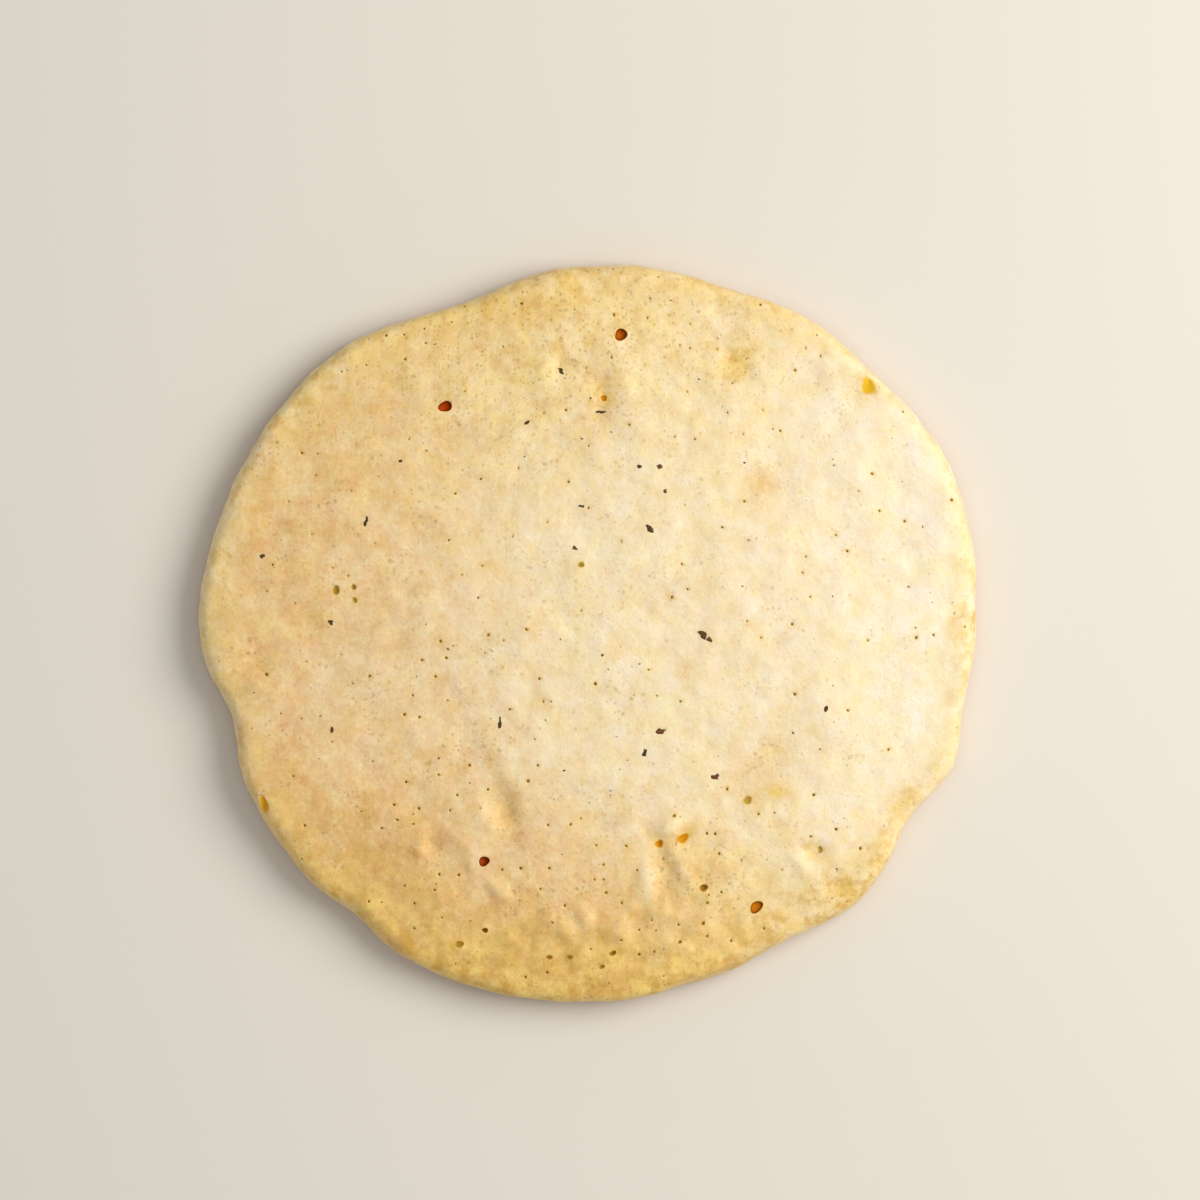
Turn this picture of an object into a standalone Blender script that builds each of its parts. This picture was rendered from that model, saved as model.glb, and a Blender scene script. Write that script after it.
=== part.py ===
# A thick buttermilk pancake lying on its griddled side, as one solid with its crown up.
# The upper side is a square grid laid onto a disc, and its outer rings roll over the rim. Below the widest
# line the rim tucks in to a flat foot. Dents and swellings are added to the height, and the open bubble
# holes are cut as blind pits.
# The helper functions work in millimetres, and the meshes are written in metres.

import math

import bmesh
import bpy
import numpy as np
from mathutils import Matrix, Vector

MM = 0.001

# Driving sizes in mm: X is the long way across, and the pancake stands on z = 0
LENGTH = 150.0
WIDTH = 142.2
CROWN_HEIGHT = 11.3
SHOULDER_HEIGHT = 9.2
WIDEST_HEIGHT = 3.0
ROLL_WIDTH = 3.8
FOOT_TUCK = 1.8
ROLL_POWER = 3.4

# Bulges and hollows of the outline: middle and spread in degrees, counter-clockwise from +X, and height in mm
OUTLINE_LOBES = (
    (6, 7, 0.4),
    (27, 9.5, 3.2),
    (54, 8, 2.1),
    (80, 8, 0.6),
    (111, 9, -3.0),
    (140, 9, 0.7),
    (175, 8, 0.8),
    (193, 5.5, -3.7),
    (208, 7, -1.8),
    (219, 5, -0.7),
    (230, 5, -2.2),
    (276, 4, 0.3),
    (289, 9, -1.5),
    (303, 6, -1.4),
    (315, 4, 0.6),
    (330, 5, -2.4),
    (341, 3, 0.8),
    (351, 5, -0.8),
)

# Waves round the rim, which make its roll fuller in some places and let the widest line wander: waves in a turn,
# phase in degrees, size in mm
ROLL_WAVES = (
    (2, 10, 0.5),
    (5, 340, 0.4),
)
WIDEST_WAVES = (
    (3, 57, 0.25),
    (7, 0, 0.15),
)

# Swells of the whole upper side: waves across X, waves across Y, phase in degrees, height in mm
SWELLS = (
    (1.3, 0.6, 40, 0.22),
    (-0.7, 1.9, 110, 0.18),
    (2.4, 1.4, 250, 0.12),
    (-2.1, 2.8, 15, 0.10),
)

# Dents (below zero) and swellings: x, y, half length, half width, turn in degrees, height, all else in mm
RELIEF = (
    # the long valley left of the middle, its deep end and its banks
    (-24.3, -19.4, 9.0, 2.4, -65, -0.35),
    (-16.0, -34.3, 3.2, 1.6, -66, -0.65),
    (-20.2, -35.6, 2.2, 1.5, -40, 0.40),
    (-12.6, -30.0, 4.5, 2.4, -66, 0.25),
    # round the lower left holes
    (-30.1, -40.0, 1.6, 1.3, 0, -0.60),
    (-32.6, -40.9, 2.0, 1.4, 60, 0.30),
    (-22.4, -43.4, 1.8, 1.3, 80, 0.30),
    (-17.4, -49.0, 2.6, 1.0, -39, 0.40),
    # the creased patch below the middle
    (13.9, -42.6, 4.0, 1.2, -81, -0.45),
    (16.9, -36.8, 1.9, 1.3, 20, 0.40),
    (11.3, -46.8, 2.3, 1.3, 70, 0.35),
    (18.6, -45.2, 3.0, 1.5, -60, 0.35),
    (19.7, -39.1, 2.3, 1.0, 10, -0.45),
    # lower right
    (43.2, -41.4, 1.9, 1.2, 0, -0.50),
    (41.2, -44.0, 2.2, 1.2, -50, 0.30),
    (47.9, -48.7, 1.7, 1.4, 0, -0.45),
    (43.8, -50.6, 2.0, 1.3, 20, 0.25),
    (59.4, -35.2, 4.2, 1.5, 38, -0.50),
    # lumps along the lower edge
    (-26.6, -59.2, 1.8, 1.3, 0, 0.35),
    (-21.3, -57.0, 1.6, 1.2, 30, 0.30),
    (-5.4, -56.0, 1.8, 1.3, -20, 0.40),
    (-0.4, -54.6, 1.5, 1.2, 0, 0.35),
    (6.2, -56.6, 1.9, 1.5, 0, 0.50),
    (14.3, -53.5, 2.0, 1.4, -30, 0.40),
    (16.9, -60.2, 1.8, 1.2, 0, 0.35),
    (21.8, -57.0, 2.0, 1.4, 40, 0.30),
    (9.6, -58.6, 2.4, 1.0, -60, -0.30),
    (2.6, -59.8, 2.6, 1.1, 10, -0.35),
    # the hollows near the upper edge and their banks
    (-4.4, 51.6, 2.3, 1.7, 0, -0.50),
    (-7.9, 53.4, 3.0, 1.6, 70, 0.28),
    (2.7, 45.8, 3.3, 1.4, 82, -0.40),
    (6.2, 50.2, 4.2, 1.8, -70, 0.20),
    (28.4, 52.0, 3.2, 1.7, -60, -0.35),
    (24.7, 48.8, 3.4, 1.6, -60, 0.22),
    (4.0, 58.4, 1.6, 1.3, 80, 0.25),
    (-29.4, 43.0, 2.0, 1.6, 0, 0.30),
    # broad shallow hollows
    (-6.4, -1.0, 3.2, 6.0, 20, -0.28),
    (19.7, 6.6, 3.0, 5.5, 0, -0.22),
    (33.6, 28.9, 4.5, 3.5, 0, -0.22),
    (32.6, -23.6, 5.5, 4.2, 30, -0.35),
    (39.4, -11.7, 5.5, 3.0, 60, -0.25),
    (-31.5, -31.0, 4.2, 3.6, 0, -0.25),
    # the crease behind the notch in the left edge
    (-63.8, -4.0, 2.6, 1.6, 70, -0.50),
    (-64.4, -9.2, 2.6, 1.6, -60, 0.35),
)

# Open bubble holes: x, y, half length and half width of the mouth, turn in degrees, depth, all else in mm
PITS = (
    (6.4, 58.0, 1.20, 1.10, 0, 3.2),
    (-27.6, 44.1, 1.20, 1.00, 20, 3.2),
    (-20.1, -43.7, 1.00, 0.95, 0, 3.0),
    (32.6, -52.6, 1.40, 0.90, 28, 2.8),
    (54.2, 48.2, 1.40, 1.25, -40, 1.6),
    (-62.9, -32.5, 1.50, 0.95, -62, 1.8),
    (31.1, -31.9, 0.80, 0.75, 0, 1.8),
    (19.2, -39.4, 1.00, 0.75, 10, 1.5),
    (14.3, -40.4, 0.80, 0.70, 0, 1.3),
    (22.2, -48.9, 0.70, 0.70, 0, 1.8),
    (-48.6, 8.6, 0.85, 0.70, 80, 1.5),
    (-24.9, -59.7, 0.75, 0.70, 0, 1.4),
)

# The grid: cells each way across the upper side, the share of its rings that lie inside the roll, and the
# rows of the tucked-in side
SHEET_CELLS = 60
CORE_SHARE = 25 / 30
TUCK_ROWS = 3

# A pit is the lower part of an ellipsoid whose middle lies this share of its depth below the skin, and it stands
# square to the skin, whose slope is taken over the step in mm
PIT_SINK = 0.3
PIT_SEGMENTS = 10
PIT_RINGS = 7
SLOPE_STEP = 0.05

# How many points of the outline are measured for its box
OUTLINE_POINTS = 1440

BATTER_COLOR = (0.82, 0.62, 0.33, 1.0)
BATTER_ROUGHNESS = 0.6
SHARP_ANGLE = math.radians(50)


def clear_scene():
    for obj in list(bpy.data.objects):
        bpy.data.objects.remove(obj)


def bell(x, y, half_length, half_width, turn):
    """A long bell shape: 1 in its middle, falling off over the two half sizes, its length turned by turn degrees."""
    along = x * math.cos(math.radians(turn)) + y * math.sin(math.radians(turn))
    across = y * math.cos(math.radians(turn)) - x * math.sin(math.radians(turn))
    return np.exp(-0.5 * ((along / half_length) ** 2 + (across / half_width) ** 2))


def outline_radius(angle):
    """Distance from the middle to the widest line: an ellipse with a bell-shaped lobe for each bulge or hollow."""
    half_length = LENGTH / 2
    half_width = WIDTH / 2
    radius = half_length * half_width / np.hypot(half_width * np.cos(angle), half_length * np.sin(angle))
    for middle, spread, height in OUTLINE_LOBES:
        gap = (np.degrees(angle) - middle + 180) % 360 - 180
        radius = radius + height * np.exp(-0.5 * (gap / spread) ** 2)
    return radius


def with_waves(size, waves, angle):
    """A size that rises and falls round the rim as a sum of sine waves."""
    return size + sum(rise * np.sin(count * angle + math.radians(phase)) for count, phase, rise in waves)


def roll_width(angle):
    return with_waves(ROLL_WIDTH, ROLL_WAVES, angle)


def widest_height(angle):
    return with_waves(WIDEST_HEIGHT, WIDEST_WAVES, angle)


def surface_height(x, y):
    """Height of the upper side: a low dome with its relief, rolled over the rim as a superellipse."""
    angle = np.arctan2(y, x)
    distance = np.hypot(x, y)
    radius = outline_radius(angle)
    roll = roll_width(angle)
    share = np.clip(distance / radius, 0, 1)
    height = SHOULDER_HEIGHT + (CROWN_HEIGHT - SHOULDER_HEIGHT) * (1 - share**2)
    for waves_x, waves_y, phase, swell in SWELLS:
        height = height + swell * np.sin(
            math.tau * (waves_x * x / LENGTH + waves_y * y / WIDTH) + math.radians(phase)
        )
    for mid_x, mid_y, half_length, half_width, turn, rise in RELIEF:
        height = height + rise * bell(x - mid_x, y - mid_y, half_length, half_width, turn)
    over = np.clip((distance - radius + roll) / roll, 0, 1)
    fall = (1 - over**ROLL_POWER) ** (1 / ROLL_POWER)
    low = widest_height(angle)
    return low + (height - low) * fall


def box_fit():
    """Middle and stretch that give the outline its exact length and width, with the middle of its box at 0, 0."""
    angle = np.linspace(0, math.tau, OUTLINE_POINTS, endpoint=False)
    radius = outline_radius(angle)
    line = np.stack([radius * np.cos(angle), radius * np.sin(angle)], axis=1)
    low = line.min(axis=0)
    high = line.max(axis=0)
    return (low + high) / 2, np.array([LENGTH, WIDTH]) / (high - low)


def in_metres(points):
    """Points in mm, fitted to the box and turned to metres."""
    middle, stretch = box_fit()
    fitted = points.copy()
    fitted[:, :2] = (points[:, :2] - middle) * stretch
    return fitted * MM


def disc_grid(cells):
    """Ring share and angle of each corner of a square grid whose square rings become circles."""
    line = np.linspace(-1, 1, cells + 1)
    u, v = (side.ravel() for side in np.meshgrid(line, line, indexing="ij"))
    wide = np.abs(u) > np.abs(v)
    reach = np.where(wide, u, v)
    other = np.where(wide, v, u)
    slant = math.pi / 4 * other / np.where(reach == 0, 1, reach)
    angle = np.where(wide, slant, math.pi / 2 - slant) + np.where(reach < 0, math.pi, 0)
    return np.abs(reach), angle


def border_loop(cells):
    """Indices of the grid's border corners, counter-clockwise from its first corner."""
    side = np.arange(cells)
    row = cells + 1
    return np.concatenate([side * row, cells * row + side, (cells - side) * row + cells, cells - side])


def pancake_mesh():
    ring, angle = disc_grid(SHEET_CELLS)
    radius = outline_radius(angle)
    roll = roll_width(angle)
    core = np.minimum(ring / CORE_SHARE, 1)
    over = np.maximum(ring - CORE_SHARE, 0) / (1 - CORE_SHARE)
    distance = core * (radius - roll) + np.sin(over * math.pi / 2) * roll
    x = distance * np.cos(angle)
    y = distance * np.sin(angle)
    rows = [np.stack([x, y, surface_height(x, y)], axis=1)]

    corner = np.arange((SHEET_CELLS + 1) ** 2).reshape(SHEET_CELLS + 1, SHEET_CELLS + 1)
    quads = np.stack([corner[:-1, :-1], corner[1:, :-1], corner[1:, 1:], corner[:-1, 1:]], axis=-1)
    faces = quads.reshape(-1, 4).tolist()

    border = border_loop(SHEET_CELLS)
    rim_angle = angle[border]
    rim_radius = outline_radius(rim_angle)
    low = widest_height(rim_angle)
    above = border
    count = len(corner) ** 2
    for step in range(1, TUCK_ROWS + 1):
        bend = math.pi / 2 * step / TUCK_ROWS
        distance = rim_radius - FOOT_TUCK * (1 - math.cos(bend))
        height = low * (1 - math.sin(bend))
        rows.append(np.stack([distance * np.cos(rim_angle), distance * np.sin(rim_angle), height], axis=1))
        below = count + np.arange(len(border))
        count += len(border)
        strip = np.stack([above, below, np.roll(below, -1), np.roll(above, -1)], axis=1)
        faces += strip.tolist()
        above = below
    faces.append(above[::-1].tolist())

    mesh = bpy.data.meshes.new("pancake")
    mesh.from_pydata(in_metres(np.concatenate(rows)).tolist(), [], faces)
    return mesh


def skin_normal(x, y):
    """Outward direction of the upper side at one point."""
    slope_x = (surface_height(x + SLOPE_STEP, y) - surface_height(x - SLOPE_STEP, y)) / (2 * SLOPE_STEP)
    slope_y = (surface_height(x, y + SLOPE_STEP) - surface_height(x, y - SLOPE_STEP)) / (2 * SLOPE_STEP)
    return Vector((-slope_x, -slope_y, 1)).normalized()


def pit_cutter():
    """All the pits as closed ellipsoids in one object, each standing square to the skin where it opens."""
    shape = bmesh.new()
    middle, stretch = box_fit()
    for x, y, half_length, half_width, turn, depth in PITS:
        normal = skin_normal(x, y)
        sink = PIT_SINK * depth
        below = depth - sink
        mouth = math.sqrt(1 - (sink / below) ** 2)
        skin = Vector((x, y, float(surface_height(x, y))))
        spot = skin - normal * sink
        spot.x = (spot.x - middle[0]) * stretch[0]
        spot.y = (spot.y - middle[1]) * stretch[1]
        place = (
            Matrix.Translation(spot * MM)
            @ normal.to_track_quat("Z", "Y").to_matrix().to_4x4()
            @ Matrix.Rotation(math.radians(turn), 4, "Z")
            @ Matrix.Diagonal((half_length / mouth * MM, half_width / mouth * MM, below * MM, 1))
        )
        bmesh.ops.create_uvsphere(
            shape, u_segments=PIT_SEGMENTS, v_segments=PIT_RINGS, radius=1, matrix=place
        )
    mesh = bpy.data.meshes.new("pit_cutter")
    shape.to_mesh(mesh)
    shape.free()
    cutter = bpy.data.objects.new("pit_cutter", mesh)
    bpy.context.scene.collection.objects.link(cutter)
    cutter.hide_render = True
    cutter.display_type = "WIRE"
    return cutter


def cooked_batter():
    material = bpy.data.materials.new("cooked_batter")
    material.use_nodes = True
    shader = material.node_tree.nodes["Principled BSDF"]
    shader.inputs["Base Color"].default_value = BATTER_COLOR
    shader.inputs["Roughness"].default_value = BATTER_ROUGHNESS
    shader.inputs["Metallic"].default_value = 0.0
    return material


def build_pancake():
    mesh = pancake_mesh()
    mesh.materials.append(cooked_batter())
    mesh.shade_smooth()
    mesh.set_sharp_from_angle(angle=SHARP_ANGLE)
    pancake = bpy.data.objects.new("pancake", mesh)
    bpy.context.scene.collection.objects.link(pancake)
    cut = pancake.modifiers.new("bubble_holes", "BOOLEAN")
    cut.operation = "DIFFERENCE"
    cut.solver = "EXACT"
    cut.object = pit_cutter()
    return pancake


clear_scene()
build_pancake()
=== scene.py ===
# A thick buttermilk pancake on a plain pale floor, seen from straight above.
# Shapes are worked out in millimetres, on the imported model's own axes, and turned to metres in the meshes.
import math
from functools import partial

import bpy
import numpy as np
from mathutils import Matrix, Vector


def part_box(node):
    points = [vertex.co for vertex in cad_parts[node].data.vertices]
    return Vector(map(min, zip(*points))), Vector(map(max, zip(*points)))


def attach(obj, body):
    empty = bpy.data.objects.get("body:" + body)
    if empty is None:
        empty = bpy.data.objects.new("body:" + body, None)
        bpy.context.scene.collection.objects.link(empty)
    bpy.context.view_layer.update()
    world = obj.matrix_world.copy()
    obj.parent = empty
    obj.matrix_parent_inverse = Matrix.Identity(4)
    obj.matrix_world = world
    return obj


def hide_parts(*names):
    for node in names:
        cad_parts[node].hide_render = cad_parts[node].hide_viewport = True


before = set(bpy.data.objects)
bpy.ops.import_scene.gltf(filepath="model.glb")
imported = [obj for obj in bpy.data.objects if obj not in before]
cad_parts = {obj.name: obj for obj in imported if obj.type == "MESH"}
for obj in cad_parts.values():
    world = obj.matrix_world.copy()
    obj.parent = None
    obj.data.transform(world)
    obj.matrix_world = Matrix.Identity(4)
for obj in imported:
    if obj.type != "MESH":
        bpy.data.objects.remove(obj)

scene = bpy.context.scene
mm = 0.001
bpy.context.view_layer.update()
print("frame loaded")

# The pancake's form in mm, as the solid has it. Lobes are bulges and hollows of the outline: middle and
# spread in degrees from +X, and height. Waves run round the rim: waves in a turn, phase in degrees, size.
# Swells run across the top: waves along X, waves along Y, phase, height. Relief holds dents and swellings:
# x, y, half length, half width, turn in degrees, height.
form = {
    "length": 150.0,
    "width": 142.2,
    "crownHeight": 11.3,
    "shoulderHeight": 9.2,
    "widestHeight": 3.0,
    "rollWidth": 3.8,
    "rollPower": 3.4,
    "footTuck": 1.8,
    "lobes": [
        (6, 7, 0.4), (27, 9.5, 3.2), (54, 8, 2.1), (80, 8, 0.6), (111, 9, -3.0), (140, 9, 0.7),
        (175, 8, 0.8), (193, 5.5, -3.7), (208, 7, -1.8), (219, 5, -0.7), (230, 5, -2.2), (276, 4, 0.3),
        (289, 9, -1.5), (303, 6, -1.4), (315, 4, 0.6), (330, 5, -2.4), (341, 3, 0.8), (351, 5, -0.8),
    ],
    "rollWaves": [(2, 10, 0.5), (5, 340, 0.4)],
    "widestWaves": [(3, 57, 0.25), (7, 0, 0.15)],
    "swells": [(1.3, 0.6, 40, 0.22), (-0.7, 1.9, 110, 0.18), (2.4, 1.4, 250, 0.12), (-2.1, 2.8, 15, 0.10)],
    "relief": [
        # the long valley left of the middle, its deep end and its banks
        (-24.3, -19.4, 9.0, 2.4, -65, -0.35), (-16.0, -34.3, 3.2, 1.6, -66, -0.65),
        (-20.2, -35.6, 2.2, 1.5, -40, 0.40), (-12.6, -30.0, 4.5, 2.4, -66, 0.25),
        # round the lower left holes
        (-30.1, -40.0, 1.6, 1.3, 0, -0.60), (-32.6, -40.9, 2.0, 1.4, 60, 0.30),
        (-22.4, -43.4, 1.8, 1.3, 80, 0.30), (-17.4, -49.0, 2.6, 1.0, -39, 0.40),
        # the creased patch below the middle
        (13.9, -42.6, 4.0, 1.2, -81, -0.45), (16.9, -36.8, 1.9, 1.3, 20, 0.40),
        (11.3, -46.8, 2.3, 1.3, 70, 0.35), (18.6, -45.2, 3.0, 1.5, -60, 0.35),
        (19.7, -39.1, 2.3, 1.0, 10, -0.45),
        # lower right
        (43.2, -41.4, 1.9, 1.2, 0, -0.50), (41.2, -44.0, 2.2, 1.2, -50, 0.30),
        (47.9, -48.7, 1.7, 1.4, 0, -0.45), (43.8, -50.6, 2.0, 1.3, 20, 0.25),
        (59.4, -35.2, 4.2, 1.5, 38, -0.50),
        # lumps along the lower edge
        (-26.6, -59.2, 1.8, 1.3, 0, 0.35), (-21.3, -57.0, 1.6, 1.2, 30, 0.30),
        (-5.4, -56.0, 1.8, 1.3, -20, 0.40), (-0.4, -54.6, 1.5, 1.2, 0, 0.35),
        (6.2, -56.6, 1.9, 1.5, 0, 0.50), (14.3, -53.5, 2.0, 1.4, -30, 0.40),
        (16.9, -60.2, 1.8, 1.2, 0, 0.35), (21.8, -57.0, 2.0, 1.4, 40, 0.30),
        (9.6, -58.6, 2.4, 1.0, -60, -0.30), (2.6, -59.8, 2.6, 1.1, 10, -0.35),
        # the hollows near the upper edge and their banks
        (-4.4, 51.6, 2.3, 1.7, 0, -0.50), (-7.9, 53.4, 3.0, 1.6, 70, 0.28),
        (2.7, 45.8, 3.3, 1.4, 82, -0.40), (6.2, 50.2, 4.2, 1.8, -70, 0.20),
        (28.4, 52.0, 3.2, 1.7, -60, -0.35), (24.7, 48.8, 3.4, 1.6, -60, 0.22),
        (4.0, 58.4, 1.6, 1.3, 80, 0.25), (-29.4, 43.0, 2.0, 1.6, 0, 0.30),
        # broad shallow hollows
        (-6.4, -1.0, 3.2, 6.0, 20, -0.28), (19.7, 6.6, 3.0, 5.5, 0, -0.22),
        (33.6, 28.9, 4.5, 3.5, 0, -0.22), (32.6, -23.6, 5.5, 4.2, 30, -0.35),
        (39.4, -11.7, 5.5, 3.0, 60, -0.25), (-31.5, -31.0, 4.2, 3.6, 0, -0.25),
        # the crease behind the notch in the left edge
        (-63.8, -4.0, 2.6, 1.6, 70, -0.50), (-64.4, -9.2, 2.6, 1.6, -60, 0.35),
    ],
}


def turned(x, y, turn):
    # how far along and how far across an axis that is turned by turn degrees from +X
    c, s = math.cos(math.radians(turn)), math.sin(math.radians(turn))
    return x * c + y * s, y * c - x * s


def bell(x, y, halfLength, halfWidth, turn):
    # 1 in the middle, falling off as a bell over the two half sizes, the length turned by turn degrees
    along, across = turned(x, y, turn)
    return np.exp(-0.5 * ((along / halfLength) ** 2 + (across / halfWidth) ** 2))


def patched(value, patches, x, y):
    # a value plus a bell for each patch, given as x, y, half length, half width, turn in degrees, height
    for midX, midY, halfLength, halfWidth, turn, height in patches:
        value = value + height * bell(x - midX, y - midY, halfLength, halfWidth, turn)
    return value


def lobed(size, lobes, angle):
    # a size plus a bell-shaped lobe at each middle angle
    for middle, spread, height in lobes:
        gap = (np.degrees(angle) - middle + 180) % 360 - 180
        size = size + height * np.exp(-0.5 * (gap / spread) ** 2)
    return size


def wavy(size, waves, angle):
    # a size plus sine waves round the rim
    return size + sum(rise * np.sin(count * angle + math.radians(phase)) for count, phase, rise in waves)


def outlineRadius(angle):
    # an ellipse with lobes
    a, b = form["length"] / 2, form["width"] / 2
    return lobed(a * b / np.hypot(b * np.cos(angle), a * np.sin(angle)), form["lobes"], angle)


def widestLine(angle):
    # the height at which the side stands out furthest
    return wavy(form["widestHeight"], form["widestWaves"], angle)


def rollReach(angle):
    # how far in from the outline the rim begins to roll over
    return wavy(form["rollWidth"], form["rollWaves"], angle)


def rollFall(over):
    # the roll is a superellipse: 1 where it begins, 0 at the outline
    return (1 - over ** form["rollPower"]) ** (1 / form["rollPower"])


def discPlace(u, v):
    # a square's rings become circles: the ring is the larger of |u| and |v|, and the angle runs evenly along
    # each of its sides
    wide = np.abs(u) > np.abs(v)
    reach, other = np.where(wide, u, v), np.where(wide, v, u)
    slant = np.pi / 4 * other / np.where(reach == 0, 1, reach)
    return np.abs(reach), np.where(wide, slant, np.pi / 2 - slant) + np.where(reach < 0, np.pi, 0)


def domeHeight(x, y, out):
    # a low dome that falls with the square of the way out, its swells, and a bell for each dent or swelling
    height = form["shoulderHeight"] + (form["crownHeight"] - form["shoulderHeight"]) * (1 - out ** 2)
    for wavesX, wavesY, phase, rise in form["swells"]:
        height = height + rise * np.sin(
            math.tau * (wavesX * x / form["length"] + wavesY * y / form["width"]) + math.radians(phase))
    return patched(height, form["relief"], x, y)


# The upper side's mesh and its fine relief, in mm. Ripples are seeded waves in the batter: wave length and
# height. Billows are the same, folded at their middle height into rounded lumps with creases between them,
# and they stand in the lumpy spots only, which are given as the form's relief is. Dimples are shallow dips
# left by bubbles that closed again. Lumps are placed dents and bumps with steeper flanks than a bell: x, y,
# half length, half width, turn in degrees, height.
crown = {
    "cells": 248,             # of the square grid, from side to side
    "coreShare": 107 / 124,   # share of the grid's rings that lie inside the roll
    "tuckRows": 7,
    "floorHeight": 0.45,
    "floorInset": 3.2,
    "ripples": [(20.0, 0.110), (11.0, 0.090), (6.0, 0.050), (3.3, 0.028), (1.7, 0.010)],
    "billows": [(7.5, 0.20), (3.6, 0.10)],
    "billowSink": 0.8,        # share of the first billows' height that all of them are lowered by
    "wavesEach": 24,
    "lumpySpots": [
        (5.0, -58.0, 26.0, 6.5, 4, 0.8), (2.0, -48.0, 34.0, 9.0, 0, 0.4), (14.0, 52.0, 26.0, 9.0, -8, 0.35),
    ],
    "dimples": 190,
    "dimpleReach": 0.93,
    "dimpleRadius": (0.6, 1.5),
    "dimpleDepth": (0.03, 0.13),
    "lumpPower": 1.5,
    "lumps": [
        # the valley left of the middle
        (-18.5, -27.1, 3.4, 1.2, -70, -0.12), (-16.0, -34.6, 2.7, 1.6, -62, -0.15),
        (-20.0, -35.2, 1.8, 1.5, -45, 0.12), (-22.2, -28.6, 3.6, 1.0, -68, 0.12),
        (-13.7, -29.0, 3.8, 1.4, -72, 0.12), (-25.3, -13.6, 4.5, 1.3, -62, -0.12),
        # lower left
        (-22.0, -43.9, 1.2, 1.1, 0, 0.30), (-17.4, -49.6, 2.8, 1.0, -42, 0.36),
        (-27.4, -60.2, 1.4, 1.1, 0, 0.30), (-30.3, -40.8, 1.3, 1.0, 0, -0.40),
        (-32.2, -41.1, 1.5, 0.9, 60, 0.32), (-36.0, -22.0, 2.2, 1.6, 30, -0.18),
        # lumps and dents along the lower edge
        (-5.4, -56.3, 2.2, 1.5, -30, 0.20), (-0.6, -54.5, 1.4, 1.1, 0, 0.14),
        (6.5, -57.1, 2.3, 1.4, 85, 0.40), (9.8, -55.6, 1.7, 1.4, 0, -0.38),
        (15.0, -53.8, 2.2, 1.4, -20, 0.32), (16.6, -60.4, 1.9, 1.3, 0, 0.30),
        (1.6, -51.6, 1.8, 1.3, 0, -0.24), (-3.5, -59.8, 2.4, 1.0, 10, -0.22),
        (22.0, -56.4, 2.2, 1.1, 30, 0.26), (-12.4, -58.0, 1.9, 1.1, -20, -0.24),
        (26.5, -49.8, 1.9, 1.3, 40, 0.22), (-14.6, -54.0, 2.4, 1.3, 15, 0.22),
        (11.0, -62.8, 2.2, 1.0, -10, -0.26), (-22.6, -61.6, 2.0, 1.1, -30, 0.24),
        # the creased patch
        (12.0, -38.7, 2.4, 1.0, -51, -0.38), (19.1, -38.0, 2.0, 0.9, 54, -0.40),
        (15.6, -36.7, 1.8, 1.3, 0, 0.32), (16.2, -41.0, 1.8, 1.0, 80, 0.26),
        (14.8, -45.6, 2.8, 1.4, 78, -0.24), (10.9, -47.2, 3.0, 1.5, -88, 0.18),
        (9.1, -41.6, 2.0, 1.1, 60, 0.18), (18.6, -45.5, 2.6, 1.2, -80, 0.18),
        (7.6, -36.6, 2.4, 1.3, 20, 0.18),
        # lower right
        (31.1, -55.4, 1.6, 1.1, 20, 0.26), (43.6, -41.3, 1.6, 1.2, 0, -0.34),
        (41.0, -43.6, 2.0, 1.1, -50, 0.28), (48.0, -48.6, 1.8, 1.3, 20, -0.30),
        (32.5, -24.0, 4.2, 2.6, 30, -0.22), (36.5, -36.5, 1.5, 1.2, 0, -0.20),
        # upper side
        (-7.9, 50.3, 2.8, 1.6, 80, 0.24), (-5.0, 52.2, 1.6, 1.2, 0, -0.26),
        (2.7, 44.9, 3.4, 1.1, 88, -0.20), (7.5, 48.4, 4.4, 1.3, -80, 0.20),
        (28.4, 52.0, 2.8, 1.5, -62, -0.12), (25.4, 55.9, 2.8, 1.0, -52, -0.12),
        (24.3, 49.7, 3.8, 1.2, 86, 0.20), (4.2, 56.0, 1.8, 1.3, 0, 0.24), (-26.0, 47.0, 2.0, 1.4, 0, 0.20),
    ],
    "seed": 5,
}


def seededRipples(octaves, wavesEach, seed, spread=(0.75, 1.35)):
    # wave vectors of each octave, turned every way in space, their lengths spread round the octave's own,
    # with their phases and heights
    draw = np.random.default_rng(seed)
    rows = []
    for waveLength, height in octaves:
        way = draw.normal(size=(wavesEach, 3))
        way /= np.linalg.norm(way, axis=1, keepdims=True)
        pitch = math.tau / (waveLength * draw.uniform(*spread, (wavesEach, 1)))
        rows.append(np.hstack([
            way * pitch, draw.uniform(0, math.tau, (wavesEach, 1)),
            np.full((wavesEach, 1), height * math.sqrt(2 / wavesEach))]))
    return np.concatenate(rows)


def rippled(points, ripples):
    # the sum of all the waves at each point
    total = np.zeros(points.shape[:-1])
    for *way, phase, height in ripples:
        total += height * np.cos(points @ np.array(way) + phase)
    return total


def scatteredSpots(draw, count, reach, radius, depth):
    # spots spread evenly over an ellipse of a share of the pancake's size: x, y, radius and depth
    out, turn = reach * np.sqrt(draw.uniform(0, 1, count)), draw.uniform(0, math.tau, count)
    x, y = out * form["length"] / 2 * np.cos(turn), out * form["width"] / 2 * np.sin(turn)
    return np.stack([x, y, draw.uniform(*radius, count), draw.uniform(*depth, count)], axis=1)


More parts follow.
